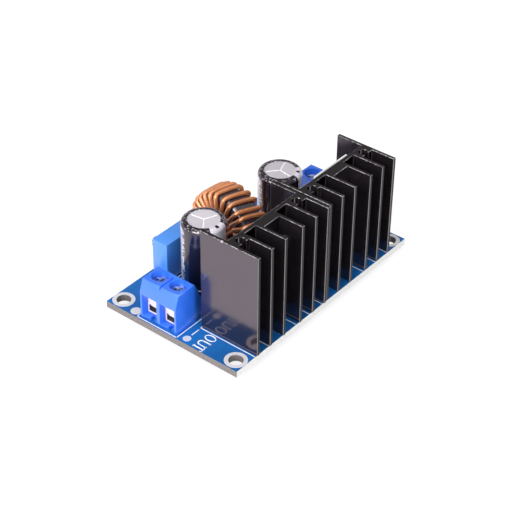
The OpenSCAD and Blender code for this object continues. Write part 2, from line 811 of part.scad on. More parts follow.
module terminal_housing() {
    color("#2f62e8")
    difference() {
        union() {
            translate([0, term_w / 2, 0])
                rotate([90, 0, 0])
                    linear_extrude(term_w)
                        polygon([
                            [0, 0], [0, slope_z], [slope_x, term_h],
                            [slope_x + top_d, term_h], [term_d, chamfer_z], [term_d, 0]
                        ]);
            translate([term_d - rebate_w + rail_clear, term_w / 2 - past, 0])
                cube([rebate_w - 2 * rail_clear, past + rail_t - rail_clear, chamfer_z - 0.5]);
        }
        translate([term_d - rebate_w, -term_w / 2 - past, -past])
            cube([rebate_w + past, past + rail_t, term_h + 2 * past]);
        translate([-past, -groove_w / 2, term_h - groove_h])
            cube([past + slope_x + top_d - 0.8, groove_w, groove_h + past]);
        for (p = poles)
            translate([0, p * pole_pitch, 0])
                pole_cuts();
    }
}

// What one pole takes out of the housing: mouth and chamber, well, shank hole, pin hole and notch
module pole_cuts() {
    translate([-past, -mouth_w / 2, floor_t])
        cube([past + chamber_d, mouth_w, mouth_top - floor_t]);
    translate([well_x, 0, head_z])
        cylinder(d = well_d, h = term_h);
    translate([well_x, 0, mouth_top - past])
        cylinder(r = clamp_screw_d / 2 + clamp_clear, h = shelf_t + 2 * past);
    translate([term_pin_x, 0, -past])
        cylinder(r = term_pin_d / 2 + clamp_clear, h = floor_t + 2 * past);
    translate([-past, notch_shift - notch_w / 2, -past])
        cube([past + notch_d, notch_w, floor_t + 2 * past]);
}

// The contact plate inside one clamp, in one piece with its pin
module contact_pin(p) {
    plate_x0 = cage_setback + 0.3;
    translate([0, p * pole_pitch, 0]) {
        translate([plate_x0, -plate_w / 2, plate_top_z - plate_t])
            cube([term_pin_x - plate_x0, plate_w, plate_t]);
        translate([term_pin_x, 0, -top_z])
            cylinder(d = term_pin_d, h = top_z + plate_top_z);
    }
}

module contact_pins() {
    color("#c4c7cb")
    for (p = poles)
        contact_pin(p);
}

// The rising wire clamp: a square ring whose thick top is threaded on the screw
module wire_clamp(p) {
    cage_h = cage_floor_t + cage_gap + cage_block_h;
    color("#d8d4d2")
    translate([cage_setback, p * pole_pitch, 0])
        difference() {
            translate([0, -cage_w / 2, cage_z])
                cube([cage_d, cage_w, cage_h]);
            translate([-past, -cage_w / 2 + cage_wall_t, cage_gap_z])
                cube([cage_d + 2 * past, cage_w - 2 * cage_wall_t, cage_gap]);
            translate([cage_d / 2, 0, cage_block_z - past])
                cylinder(r = clamp_screw_d / 2 + clamp_clear, h = cage_block_h + 2 * past);
        }
}

module clamp_screw(p) {
    color("#c9ccd0")
    translate([well_x, p * pole_pitch, 0])
        difference() {
            union() {
                translate([0, 0, head_z + clamp_clear])
                    cylinder(d = clamp_head_d, h = clamp_head_h);
                translate([0, 0, cage_block_z])
                    cylinder(d = clamp_screw_d, h = head_z + 2 * clamp_clear - cage_block_z);
            }
            translate([0, 0, head_z + clamp_clear + clamp_head_h])
                cross_recess(clamp_head_d - 1);
        }
}

module trimmer_housing() {
    color("#3f86f0")
    difference() {
        union() {
            translate([trim_x, trim_y - trim_w / 2, top_z + trim_foot_h])
                cube([trim_l, trim_w, trim_h - trim_foot_h]);
            for (x = [trim_x + trim_foot_d / 2, trim_x + trim_l - trim_foot_d / 2], s = [-1, 1])
                translate([x, trim_y + s * (trim_w - trim_foot_d) / 2, top_z])
                    cylinder(d = trim_foot_d, h = trim_foot_h + 0.2);
        }
        translate([trim_screw_x, trim_rear_y - trim_screw_grip - trim_screw_clear, trim_screw_z])
            rotate([-90, 0, 0])
                cylinder(r = trim_screw_d / 2 + trim_screw_clear, h = trim_screw_grip + past);
    }
}

module trimmer_screw() {
    color("#c39a4a")
    translate([trim_screw_x, trim_rear_y - trim_screw_grip, trim_screw_z])
        rotate([-90, 0, 0])
            difference() {
                cylinder(d = trim_screw_d, h = trim_screw_grip + trim_screw_out);
                translate([-trim_screw_d, -trim_slot_w / 2, trim_screw_grip + trim_screw_out - trim_slot_h])
                    cube([2 * trim_screw_d, trim_slot_w, trim_slot_h + past]);
            }
}

module trimmer_pins() {
    color("#c9ccd0")
    for (x = trim_pin_xs)
        round_lead(x, trim_y, trim_pin_d, top_z + trim_foot_h);
}

// A chip with its two metal ends standing slightly proud of the middle
module chip(x, l, w, h) {
    thin = 0.05;
    translate([x - l / 2 + chip_end, chip_y - w / 2 + thin, top_z])
        cube([l - 2 * chip_end, w - 2 * thin, h - thin]);
    for (s = [-1, 1])
        translate([x + s * (l - chip_end) / 2 - chip_end / 2, chip_y - w / 2, top_z])
            cube([chip_end, w, h]);
}

module chip_capacitors() {
    color("#b49a72")
    for (x = chip_cap_xs)
        chip(x, chip_cap_l, chip_cap_w, chip_cap_h);
}

module chip_resistors() {
    color("#202022")
    for (x = chip_res_xs)
        chip(x, chip_res_l, chip_res_w, chip_res_h);
}

circuit_board();
solder_joints();
heatsink(output_sink);  // output_heatsink
heatsink(input_sink);  // input_heatsink
heatsink_pins();
package_tab(output_sink);  // diode_tab
package_body(output_sink, diode_lead_xs, [0, 0, 0]);  // diode_body
package_leads(output_sink, diode_lead_xs, [0, 0, 0]);  // diode_leads
insulating_pad(output_sink, diode_pad_drop);  // diode_pad
package_tab(input_sink);  // regulator_tab
package_body(input_sink, regulator_lead_xs, regulator_cranks);  // regulator_body
package_leads(input_sink, regulator_lead_xs, regulator_cranks);  // regulator_leads
insulating_pad(input_sink, 0);  // regulator_pad
tab_screws();
choke_core();
choke_winding();
capacitor_can(cap_places[0]);  // output_capacitor_can
capacitor_sleeve(cap_places[0]);  // output_capacitor_sleeve
capacitor_bung(cap_places[0]);  // output_capacitor_bung
capacitor_leads(cap_places[0]);  // output_capacitor_leads
capacitor_can(cap_places[1]);  // input_capacitor_can
capacitor_sleeve(cap_places[1]);  // input_capacitor_sleeve
capacitor_bung(cap_places[1]);  // input_capacitor_bung
capacitor_leads(cap_places[1]);  // input_capacitor_leads
at_terminal(output_front_x, -1, output_term_y) terminal_housing();  // output_terminal_housing
at_terminal(output_front_x, -1, output_term_y) contact_pins();  // output_terminal_pins
at_terminal(output_front_x, -1, output_term_y) wire_clamp(poles[0]);  // output_clamp_front
at_terminal(output_front_x, -1, output_term_y) wire_clamp(poles[1]);  // output_clamp_rear
at_terminal(output_front_x, -1, output_term_y) clamp_screw(poles[0]);  // output_screw_front
at_terminal(output_front_x, -1, output_term_y) clamp_screw(poles[1]);  // output_screw_rear
at_terminal(input_front_x, 1, input_term_y) terminal_housing();  // input_terminal_housing
at_terminal(input_front_x, 1, input_term_y) contact_pins();  // input_terminal_pins
at_terminal(input_front_x, 1, input_term_y) wire_clamp(poles[1]);  // input_clamp_front
at_terminal(input_front_x, 1, input_term_y) wire_clamp(poles[0]);  // input_clamp_rear
at_terminal(input_front_x, 1, input_term_y) clamp_screw(poles[1]);  // input_screw_front
at_terminal(input_front_x, 1, input_term_y) clamp_screw(poles[0]);  // input_screw_rear
trimmer_housing();
trimmer_screw();
trimmer_pins();
chip_capacitors();
chip_resistors();
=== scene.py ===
"""Looks of the step-down converter module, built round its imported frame.

Lengths in the properties are in metres. Named lengths that end in _mm are in millimetres.
"""
import json
import math

import bpy
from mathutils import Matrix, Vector


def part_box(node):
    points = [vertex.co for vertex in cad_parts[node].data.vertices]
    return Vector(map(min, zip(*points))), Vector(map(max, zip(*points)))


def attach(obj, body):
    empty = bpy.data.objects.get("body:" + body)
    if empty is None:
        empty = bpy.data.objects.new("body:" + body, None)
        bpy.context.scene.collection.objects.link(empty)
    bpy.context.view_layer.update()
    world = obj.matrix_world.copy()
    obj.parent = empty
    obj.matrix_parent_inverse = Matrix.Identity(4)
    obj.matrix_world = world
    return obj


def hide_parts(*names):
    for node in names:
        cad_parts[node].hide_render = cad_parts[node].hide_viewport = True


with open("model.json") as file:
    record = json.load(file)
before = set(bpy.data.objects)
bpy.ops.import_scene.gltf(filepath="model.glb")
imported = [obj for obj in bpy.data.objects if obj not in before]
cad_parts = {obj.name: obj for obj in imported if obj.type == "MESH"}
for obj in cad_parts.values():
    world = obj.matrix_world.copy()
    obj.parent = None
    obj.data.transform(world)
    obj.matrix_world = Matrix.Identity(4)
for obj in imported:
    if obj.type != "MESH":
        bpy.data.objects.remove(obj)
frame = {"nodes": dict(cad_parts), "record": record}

bl_info = {
    "name": "Converter Module Looks",
    "version": (1, 0, 0),
    "blender": (4, 5, 0),
    "location": "3D View > Sidebar > Converter",
    "description": "Finishes, print and small details for a step-down converter module",
    "category": "Object",
}

MM = 0.001
BODY_OF = {
    node: body
    for body, nodes in frame["record"]["behaviour"]["bodies"].items()
    for node in nodes
}
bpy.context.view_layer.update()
SIDES = ("output", "input")
ROWS = ("front", "rear")
ENDS = (-1, 1)

BOARD_LOW, BOARD_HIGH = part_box("circuit_board")
BOARD_TOP_MM = BOARD_HIGH.z / MM
BOARD_BOTTOM_MM = BOARD_LOW.z / MM
BOARD_END_MM = BOARD_HIGH.x / MM
BOARD_SIDE_MM = BOARD_HIGH.y / MM


def srgb(red, green, blue):
    """A colour given as it looks on screen, 0 to 255, turned into the shader's linear numbers."""
    def linear(level):
        part = level / 255
        return part / 12.92 if part <= 0.04045 else ((part + 0.055) / 1.055) ** 2.4
    return (linear(red), linear(green), linear(blue))


def middle_mm(node):
    """The centre of a CAD node's box, in millimetres."""
    low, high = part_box(node)
    return (low + high) / (2 * MM)


# Sizes and colours that a user would change


def colour(name, description, default):
    return bpy.props.FloatVectorProperty(
        name=name, description=description, default=default, size=3, min=0, max=1, subtype="COLOR"
    )


def number(name, description, default, **settings):
    return bpy.props.FloatProperty(name=name, description=description, default=default, **settings)


def length(name, description, default_mm):
    return number(name, description, default_mm * MM, min=0, unit="LENGTH", precision=5)


def power(name, description, default):
    return number(name, description, default, min=0, unit="POWER")


class BoardLooks(bpy.types.PropertyGroup):
    mask_colour: colour("Mask", "Colour of the solder mask over bare board", srgb(20, 92, 160))
    copper_colour: colour("Mask on copper", "Colour of the solder mask over copper", srgb(28, 108, 184))
    laminate_colour: colour("Laminate", "Colour of the board's scored ends", srgb(120, 117, 116))
    ink_thickness: length("Ink thickness", "Thickness of the printed white ink", 0.03)
    line_width: length("Line width", "Width of the printed lines", 0.2)
    ring_diameter: length("Ring diameter", "Outer diameter of the ring round each mounting hole", 5.0)


class HeatsinkLooks(bpy.types.PropertyGroup):
    edge_width: length("Edge width", "Width of the bared edges", 0.09)
    finish_colour: colour("Anodising", "Reflected colour of the black anodising", srgb(111, 102, 110))
    # At the nick this is bared aluminium; on the heatsinks' rounded edges it is partly bared aluminium
    # and partly painted highlight.
    edge_colour: colour("Bare edge", "Colour of the aluminium at the bared edges", srgb(214, 212, 216))


class ChokeLooks(bpy.types.PropertyGroup):
    copper_colour: colour("Copper", "Colour of the enamelled wire", srgb(250, 172, 120))
    core_colour: colour("Core", "Colour of the core's coating", srgb(52, 46, 54))
    wire_growth: length("Wire growth", "Growth of the wire's surface before it is smoothed", 0.045)


class CapacitorLooks(bpy.types.PropertyGroup):
    sleeve_colour: colour("Sleeve", "Colour of the shrunk sleeves", srgb(20, 20, 27))
    stripe_colour: colour("Stripe", "Colour of the stripe on the negative side", srgb(226, 228, 236))
    stripe_half_angle: number(
        "Stripe half angle", "Half of the angle that the stripe covers",
        math.radians(26), min=0, max=math.radians(90), subtype="ANGLE",
    )
    band_turn: number(
        "Seam", "Direction of the ragged seam down each sleeve, from +X",
        math.radians(146), min=-math.pi, max=math.pi, subtype="ANGLE",
    )


class PlasticLooks(bpy.types.PropertyGroup):
    terminal_colour: colour("Terminals", "Colour of the terminal housings", srgb(44, 116, 246))
    trimmer_colour: colour("Trimmer", "Colour of the trimmer's housing", srgb(72, 146, 240))
    corner_width: length("Corner width", "Width of the rounded corners of the mouldings", 0.12)


class StageLooks(bpy.types.PropertyGroup):
    floor_radius: number("Floor radius", "Radius of the pale floor", 1.6, min=0.5, unit="LENGTH")
    key_power: power("Key lamp", "Power of the large lamp on the left", 3.4)
    top_power: power("Top lamp", "Power of the lamp overhead", 1.55)
    front_power: power("Front lamp", "Power of the lamp in front", 1.9)
    sky_level: number("Sky level", "Brightness of the even light from all round", 0.28, min=0)


class ModuleLooks(bpy.types.PropertyGroup):
    board: bpy.props.PointerProperty(type=BoardLooks)
    heatsink: bpy.props.PointerProperty(type=HeatsinkLooks)
    choke: bpy.props.PointerProperty(type=ChokeLooks)
    capacitor: bpy.props.PointerProperty(type=CapacitorLooks)
    plastic: bpy.props.PointerProperty(type=PlasticLooks)
    stage: bpy.props.PointerProperty(type=StageLooks)


# Node graphs


class Finish:
    """One node-based material: its tree, its surface shader, and the nodes that patterns need."""

    def __init__(self, name, roughness=0.5, metallic=0.0):
        self.material = bpy.data.materials.new(name)
        self.material.use_nodes = True
        self.tree = self.material.node_tree
        self.surface = self.tree.nodes["Principled BSDF"]
        self.surface.inputs["Roughness"].default_value = roughness
        self.surface.inputs["Metallic"].default_value = metallic

    def feed(self, socket, value):
        """Gives a socket a number, a colour or another node's output."""
        if isinstance(value, bpy.types.NodeSocket):
            self.tree.links.new(value, socket)
        elif socket.type == "RGBA" and len(value) == 3:
            socket.default_value = (*value, 1)
        else:
            socket.default_value = value

    def node(self, kind, inputs=None, **settings):
        made = self.tree.nodes.new("ShaderNode" + kind)
        for key, value in settings.items():
            setattr(made, key, value)
        for key, value in (inputs or {}).items():
            self.feed(made.inputs[key], value)
        return made

    def set(self, **values):
        """Sets or links sockets of the surface shader, named with _ for each space."""
        for key, value in values.items():
            words = key.replace("_", " ").title().replace("Ior", "IOR")
            self.feed(self.surface.inputs[words], value)

    def place(self, centre_mm=(0, 0, 0), stretch=(1, 1, 1)):
        """Object coordinates in millimetres from a centre, with each axis stretched."""
        inputs = {
            "Vector": self.node("TexCoord").outputs["Object"],
            "Location": tuple(value * MM for value in centre_mm),
            "Scale": tuple(value * MM for value in stretch),
        }
        return self.node("Mapping", inputs, vector_type="TEXTURE").outputs[0]

    def noise(self, scale, detail=2.0, roughness=0.5, centre_mm=(0, 0, 0), stretch=(1, 1, 1)):
        """Cloudy noise, with scale in cells for each millimetre."""
        place = self.place(centre_mm, stretch)
        inputs = {"Vector": place, "Scale": scale, "Detail": detail, "Roughness": roughness}
        return self.node("TexNoise", inputs).outputs[0]

    def math(self, operation, first, second=0.0):
        return self.node("Math", {0: first, 1: second}, operation=operation).outputs[0]

    def above(self, value, limit):
        """1 where a value is more than a limit."""
        return self.math("GREATER_THAN", value, limit)

    def below(self, value, limit):
        """1 where a value is less than a limit."""
        return self.math("LESS_THAN", value, limit)

    def times(self, first, second):
        return self.math("MULTIPLY", first, second)

    def unsigned(self, value):
        return self.math("ABSOLUTE", value)

    def between(self, value, low, high):
        """0 up to low, 1 from high, and even in between."""
        inputs = {"Value": value, "From Min": low, "From Max": high}
        return self.node("MapRange", inputs, clamp=True).outputs[0]

    def spread(self, value, low, high):
        """A 0 to 1 value spread over low to high."""
        inputs = {"Value": value, "To Min": low, "To Max": high}
        return self.node("MapRange", inputs, clamp=True).outputs[0]

    def mix(self, share, first, second):
        """First colour where share is 0, second where it is 1."""
        return self.node("Mix", {0: share, 6: first, 7: second}, data_type="RGBA").outputs[2]

    def blend(self, share, first, second):
        """First number where share is 0, second where it is 1."""
        return self.node("Mix", {0: share, 2: first, 3: second}, data_type="FLOAT").outputs[0]

    def split(self, vector):
        return self.node("SeparateXYZ", {0: vector}).outputs

    def facing(self):
        """The surface's own direction, split into x, y and z."""
        return self.split(self.node("NewGeometry").outputs["Normal"])

    def lifted(self, height, depth_mm, strength=0.6):
        """The finished material, with its relief."""
        inputs = {"Height": height, "Strength": strength, "Distance": depth_mm * MM}
        self.set(normal=self.node("Bump", inputs).outputs[0])
        return self.material

    def angle(self, vector):
        """The angle round the z axis of a split vector, in radians."""
        return self.math("ARCTAN2", vector[1], vector[0])

    def away(self, angle, direction):
        """How far an angle is from a direction, the shorter way round, in radians."""
        turned = self.math("SUBTRACT", angle, direction)
        inputs = {0: turned, 1: math.pi, 2: -math.pi}
        return self.unsigned(self.node("Math", inputs, operation="WRAP").outputs[0])

    def vector(self, operation, first, second=(0, 0, 0)):
        return self.node("VectorMath", {0: first, 1: second}, operation=operation).outputs[0]

    def distance(self, place):
        """How far a place is from the centre of its coordinates."""
        return self.node("VectorMath", {0: place}, operation="LENGTH").outputs["Value"]


def darker(tone, share):
    return tuple(level * share for level in tone)


# Finishes


HOLE_WALL_MM = 0.1


def board_finish(looks):
    """Blue mask with faint copper under it on both sides, layered laminate on the cut edges, painted
    light on the long edges and painted shade in the mounting holes.
    """
    made = Finish("board_mask")
    flat = made.place()
    facing = made.facing()
    on_face = made.above(made.unsigned(facing[2]), 0.5)
    tracks = made.node(
        "TexBrick",
        {"Vector": flat, "Scale": 0.09, "Mortar Size": 0.03, "Mortar Smooth": 0.6, "Bias": 0.2},
        offset=0.37, squash=1.6, squash_frequency=3,
    ).outputs["Fac"]
    pour = made.noise(0.09, 2, 0.4)
    mottle = made.noise(0.35, 4)
    tone = made.mix(made.between(pour, 0.35, 0.62), looks.mask_colour, looks.copper_colour)
    tone = made.mix(made.spread(tracks, 0, 0.25), tone, looks.mask_colour)
    mask = made.mix(made.spread(mottle, 0.0, 0.3), tone, darker(looks.mask_colour, 0.7))

    fibre = made.noise(3.2, 3, 0.7, stretch=(1, 1, 0.4))
    laminate = made.mix(made.between(fibre, 0.5, 0.62), looks.laminate_colour, srgb(154, 138, 132))
    laminate = made.mix(made.between(fibre, 0.5, 0.36), laminate, darker(looks.laminate_colour, 0.66))
    # The long edges are painted near white: painted light of the brightly lit front edge.
    painted_light_edge = made.above(made.unsigned(facing[1]), 0.9)
    laminate = made.mix(painted_light_edge, laminate, srgb(226, 225, 222))
    centres, hole = mounting_holes()
    folded = made.vector("ABSOLUTE", flat)
    across = made.vector("SUBTRACT", folded, (abs(centres[0][0]), abs(centres[0][1]), 0))
    from_hole = made.distance(made.vector("MULTIPLY", across, (1, 1, 0)))
    # The walls of the mounting holes get a darker tone: painted shade in the holes.
    painted_hole_shade = made.below(from_hole, hole + HOLE_WALL_MM)
    laminate = made.mix(painted_hole_shade, laminate, srgb(104, 99, 96))
    made.set(
        base_color=made.mix(on_face, laminate, mask),
        roughness=made.blend(on_face, 0.75, 0.26),
    )
    relief = made.math("SUBTRACT", made.times(mottle, 0.15), made.times(tracks, 0.5))
    return made.lifted(made.times(relief, on_face), 0.03)


def ink_finish():
    made = Finish("printed_ink", roughness=0.55)
    cloud = made.noise(2.5, 3)
    share = made.between(cloud, 0.3, 0.7)
    made.set(base_color=made.mix(share, srgb(246, 247, 250), srgb(224, 230, 240)))
    return made.lifted(cloud, 0.01)


def grained_finish(name, first, second, grain, roughness, relief_mm, metallic=0.0):
    """Two near tones, a roughness and a relief that all follow one noise."""
    made = Finish(name, metallic=metallic)
    cloud = made.noise(*grain)
    made.set(base_color=made.mix(cloud, first, second), roughness=made.spread(cloud, *roughness))
    return made.lifted(cloud, relief_mm)


def tinning_finish():
    return grained_finish(
        "tinned_pad", srgb(222, 221, 225), srgb(240, 238, 240), (1.6, 3), (0.3, 0.5), 0.03, 0.35
    )


def solder_finish():
    made = Finish("solder", metallic=1.0)
    lumps = made.noise(1.2, 2)
    grain = made.noise(9, 2)
    made.set(
        base_color=made.mix(grain, srgb(176, 178, 184), srgb(222, 222, 226)),
        roughness=made.spread(grain, 0.18, 0.4),
    )
    return made.lifted(lumps, 0.15)


def plated_finish(name, dark, light, drawn_along=(1, 1, 6), roughness=(0.2, 0.38), metallic=1.0):
    """Bright plating over drawn or stamped metal, with marks along one direction."""
    made = Finish(name, metallic=metallic)
    marks = made.noise(5, 3, 0.6, stretch=drawn_along)
    stain = made.noise(0.8, 2)
    made.set(
        base_color=made.mix(made.between(stain, 0.35, 0.7), light, dark),
        roughness=made.spread(marks, *roughness),
    )
    return made.lifted(marks, 0.012)


def tinned():
    found = bpy.data.materials.get("tinned_lead")
    return found or plated_finish("tinned_lead", srgb(168, 168, 174), srgb(214, 214, 218))


NICK_MM = (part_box("output_heatsink")[0].x / MM, -8.9, 27.95)
NICK_R_MM = 0.34


def nick(made):
    """1 in a small nick at the top of the first plate, where bright metal shows."""
    return made.below(made.distance(made.place(NICK_MM)), NICK_R_MM)


def anodised_finish(looks):
    """Black anodised aluminium: a dark mirror with faint extrusion lines up its length, and painted
    shade on the faces that look along y.
    """
    made = Finish("black_anodising", metallic=0.93)
    lines = made.noise(4.5, 3, 0.6, stretch=(1, 1, 60))
    smudge = made.noise(0.22, 3, 0.55)
    facing = made.facing()
    sawn = made.above(made.unsigned(facing[2]), 0.7)
    front = made.above(made.unsigned(facing[1]), 0.9)
    side = made.mix(made.spread(smudge, 0, 0.5), looks.finish_colour, darker(looks.finish_colour, 0.86))
    # Faces that look along y get painted shade: a near-black tone in place of the anodising's colour.
    side = made.mix(front, side, darker(looks.finish_colour, 0.08))
    saw_marks = made.noise(3.5, 3, 0.7, stretch=(0.35, 6, 1))
    cut = made.mix(made.spread(saw_marks, 0.0, 0.9), srgb(46, 42, 44), srgb(74, 69, 71))
    made.set(
        base_color=made.mix(nick(made), made.mix(sawn, side, cut), looks.edge_colour),
        roughness=made.blend(sawn, made.spread(smudge, 0.1, 0.2), 0.42),
    )
    relief = made.blend(sawn, made.times(lines, 0.4), saw_marks)
    return made.lifted(relief, 0.02)


def bared_and_highlight_finish(looks):
    """The heatsinks' rounded edges: an even grey up the fins, and dashes along the sawn tops, partly
    bared aluminium and partly painted highlight.
    """
    made = Finish("bared_edge", metallic=1.0)
    dashes = made.noise(1.35, 3, 0.65)
    on_top = made.above(made.facing()[2], 0.3)
    # The bright tone on the second material is painted highlight mixed with bared aluminium.
    bared_and_highlight = made.blend(on_top, made.spread(dashes, 0.1, 0.5), made.between(dashes, 0.42, 0.58))
    bared_and_highlight = made.math("MAXIMUM", bared_and_highlight, nick(made))
    made.set(
        base_color=made.mix(bared_and_highlight, srgb(102, 96, 99), looks.edge_colour),
        roughness=made.spread(dashes, 0.5, 0.3),
    )
    return made.lifted(dashes, 0.03)


def moulding_finish():
    return grained_finish(
        "moulding_compound", srgb(26, 26, 28), srgb(46, 45, 47), (11, 3, 0.6), (0.45, 0.65), 0.02
    )


def insulator_finish():
    made = Finish("insulating_pad", roughness=0.6)
    weave = made.node("TexVoronoi", {"Vector": made.place(), "Scale": 3.0}).outputs["Distance"]
    made.set(base_color=made.mix(weave, srgb(238, 238, 236), srgb(214, 214, 214)))
    return made.lifted(weave, 0.02)


def core_finish(looks):
    """The core's thick glossy coating over pressed powder."""
    made = Finish("core_coating")
    powder = made.noise(1.1, 4, 0.6)
    specks = made.noise(2.6, 2)
    tone = made.mix(powder, looks.core_colour, darker(looks.core_colour, 1.7))
    made.set(
        base_color=made.mix(made.between(specks, 0.62, 0.7), tone, srgb(70, 92, 84)),
        roughness=made.spread(powder, 0.14, 0.3),
        specular_ior_level=1.0,
        coat_weight=1.0,
        coat_roughness=0.1,
    )
    return made.lifted(powder, 0.08)


def copper_finish(looks):
    """Copper wire under clear enamel."""
    made = Finish("enamelled_wire", metallic=0.6)
    streaks = made.noise(0.9, 3, stretch=(2, 1, 1))
    fine = made.noise(6, 2)
    made.set(
        base_color=made.mix(streaks, looks.copper_colour, darker(looks.copper_colour, 0.66)),
        roughness=made.spread(fine, 0.34, 0.5),
        coat_weight=0.8,
        coat_roughness=0.16,
        coat_tint=(1.0, 0.9, 0.82, 1),
    )
    return made.lifted(streaks, 0.03)


SCORE_SUNK_MM = 0.04
SCORE_R_MM = 3.5


def can_finish(name, centre_mm, first_score, level):
    """Matt aluminium whose three leaves get painted shade, one tone each as the real leaves lie at
    slightly different angles, with bright score lines.
    """
    made = Finish(name)
    place = made.place(centre_mm)
    parts = made.split(place)
    angle = made.angle(parts)
    past_score = made.math("SUBTRACT", angle, first_score - 4 * math.pi)
    leaf = made.math("FLOOR", made.math("DIVIDE", past_score, 2 * math.pi / 3))
    shade = made.math("FRACT", made.times(leaf, 0.37))
    grain = made.noise(5.5, 3, 0.6, centre_mm=centre_mm)
    # The level darkens the leaves of a whole can top as painted shade.
    leaves = made.mix(shade, darker(srgb(226, 219, 228), level), darker(srgb(244, 238, 246), level))
    sunk = made.below(parts[2], -SCORE_SUNK_MM)
    radius = made.distance(made.vector("MULTIPLY", place, (1, 1, 0)))
    scored = made.times(sunk, made.below(radius, SCORE_R_MM))
    tone = made.mix(made.spread(grain, 0, 0.4), leaves, srgb(204, 197, 207))
    made.set(
        base_color=made.mix(scored, tone, srgb(252, 250, 254)),
        metallic=made.blend(scored, 0.4, 0.0),
        roughness=made.spread(grain, 0.36, 0.52),
    )
    return made.lifted(grain, 0.015)


DASH_STEP_MM = 5.2
DASH_SHARE = 0.42
DASH_HALF_ANGLE = 0.09
GLINT_DEPTH_MM = 0.5
BAND_START_MM = 0.9
# The sleeves' reflections get a painted pink tint: painted reflection colour.
SLEEVE_PAINTED_REFLECTION_TINT = (1.0, 0.9, 0.98, 1)


def sleeve_finish(name, looks, centre_mm, stripe_angle):
    """Glossy shrunk sleeve with a pale stripe down one side, a ragged pale band and painted highlight
    specks on its rim.
    """
    made = Finish(name)
    place = made.place(centre_mm)
    parts = made.split(place)
    angle = made.angle(parts)
    from_stripe = made.away(angle, stripe_angle)
    in_stripe = made.below(from_stripe, looks.stripe_half_angle)
    dash_row = made.math("FRACT", made.math("DIVIDE", parts[2], DASH_STEP_MM))
    dash_row = made.below(dash_row, DASH_SHARE)
    dash = made.times(made.below(from_stripe, DASH_HALF_ANGLE), dash_row)
    # A ragged pale band runs down each sleeve from a little below its top.
    ragged = made.noise(1.3, 3, 0.7, centre_mm=centre_mm, stretch=(1, 1, 0.6))
    band_width = made.spread(made.between(ragged, 0.42, 0.56), 0.04, 0.32)
    band = made.below(made.away(angle, looks.band_turn), band_width)
    # Pale specks on the top of the rim are painted highlight.
    rim_painted_glints = made.between(made.noise(3.2, 2, centre_mm=centre_mm), 0.62, 0.66)
    rim_painted_glints = made.times(rim_painted_glints, made.above(parts[2], -GLINT_DEPTH_MM))
    band = made.times(band, made.below(parts[2], -BAND_START_MM))
    ripple = made.noise(0.9, 2, centre_mm=centre_mm, stretch=(1, 1, 4))
    tone = made.mix(made.spread(ripple, 0, 0.6), looks.sleeve_colour, darker(looks.sleeve_colour, 0.5))
    tone = made.mix(in_stripe, tone, looks.stripe_colour)
    tone = made.mix(dash, tone, looks.sleeve_colour)
    tone = made.mix(made.math("MAXIMUM", band, rim_painted_glints), tone, looks.stripe_colour)
    made.set(
        base_color=tone,
        roughness=made.spread(ripple, 0.12, 0.26),
        specular_ior_level=0.8,
        specular_tint=SLEEVE_PAINTED_REFLECTION_TINT,
        coat_weight=0.6,
        coat_roughness=0.1,
        coat_tint=SLEEVE_PAINTED_REFLECTION_TINT,
    )
    return made.lifted(ripple, 0.04)


def rubber_finish():
    made = Finish("bung_rubber", roughness=0.8)
    grain = made.noise(7, 2)
    made.set(base_color=made.mix(grain, srgb(20, 20, 20), srgb(38, 37, 36)))
    return made.lifted(grain, 0.02)


def plastic_finish(name, tone, roughness=(0.26, 0.36)):
    """Glossy moulded plastic with a faint flow pattern and fine skin."""
    made = Finish(name)
    flow = made.noise(0.35, 3, 0.5)
    skin = made.noise(8, 2)
    made.set(
        base_color=made.mix(made.spread(flow, 0, 0.5), tone, darker(tone, 0.85)),
        roughness=made.spread(skin, *roughness),
        specular_ior_level=0.9,
        coat_weight=0.7,
        coat_roughness=0.22,
    )
    return made.lifted(skin, 0.012, 0.4)


CHIP_END_MM = 0.4


def chip_finish(name, tone, node, chip_mm):
    """Ceramic middles with tinned ends, for chips set evenly either side of their node's middle."""
    made = Finish(name)
    low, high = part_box(node)
    offset = (high.x - low.x) / (2 * MM) - chip_mm / 2
    along = made.split(made.place((middle_mm(node).x, 0, 0)))[0]
    from_chip = made.unsigned(made.math("SUBTRACT", made.unsigned(along), offset))
    end = made.above(from_chip, chip_mm / 2 - CHIP_END_MM)
    grain = made.noise(9, 2)
    middle = made.mix(grain, tone, darker(tone, 0.7))
    made.set(
        base_color=made.mix(end, middle, srgb(206, 206, 210)),
        metallic=made.blend(end, 0.0, 0.9),
        roughness=made.spread(grain, 0.3, 0.5),
    )
    return made.lifted(grain, 0.015)


# Modelling helpers


def settle():
    """Leaves edit mode and deselects everything."""
    if bpy.context.object and bpy.context.object.mode != "OBJECT":
        bpy.ops.object.mode_set(mode="OBJECT")
    bpy.ops.object.select_all(action="DESELECT")


def only(piece):
    settle()
    piece.select_set(True)
    bpy.context.view_layer.objects.active = piece


def edit(piece):
    """Opens a piece in edit mode with all of it selected."""
    only(piece)
    bpy.ops.object.mode_set(mode="EDIT")
    bpy.ops.mesh.select_all(action="SELECT")


def leave_edit():
    bpy.ops.object.mode_set(mode="OBJECT")


def apply_modifier(piece, kind, **settings):
    only(piece)
    made = piece.modifiers.new(kind.lower(), kind)
    for key, value in settings.items():
        setattr(made, key, value)
    bpy.ops.object.modifier_apply(modifier=made.name)


def select_vertices(piece, chosen):
    """Opens a piece in edit mode with only the vertices of a list of numbers selected."""
    edit(piece)
    bpy.ops.mesh.select_mode(type="VERT")
    bpy.ops.mesh.select_all(action="DESELECT")
    leave_edit()
    for index in chosen:
        piece.data.vertices[index].select = True
    bpy.ops.object.mode_set(mode="EDIT")


def move_vertices(piece, chosen, shift_mm):
    select_vertices(piece, chosen)
    bpy.ops.transform.translate(value=tuple(value * MM for value in shift_mm))
    leave_edit()


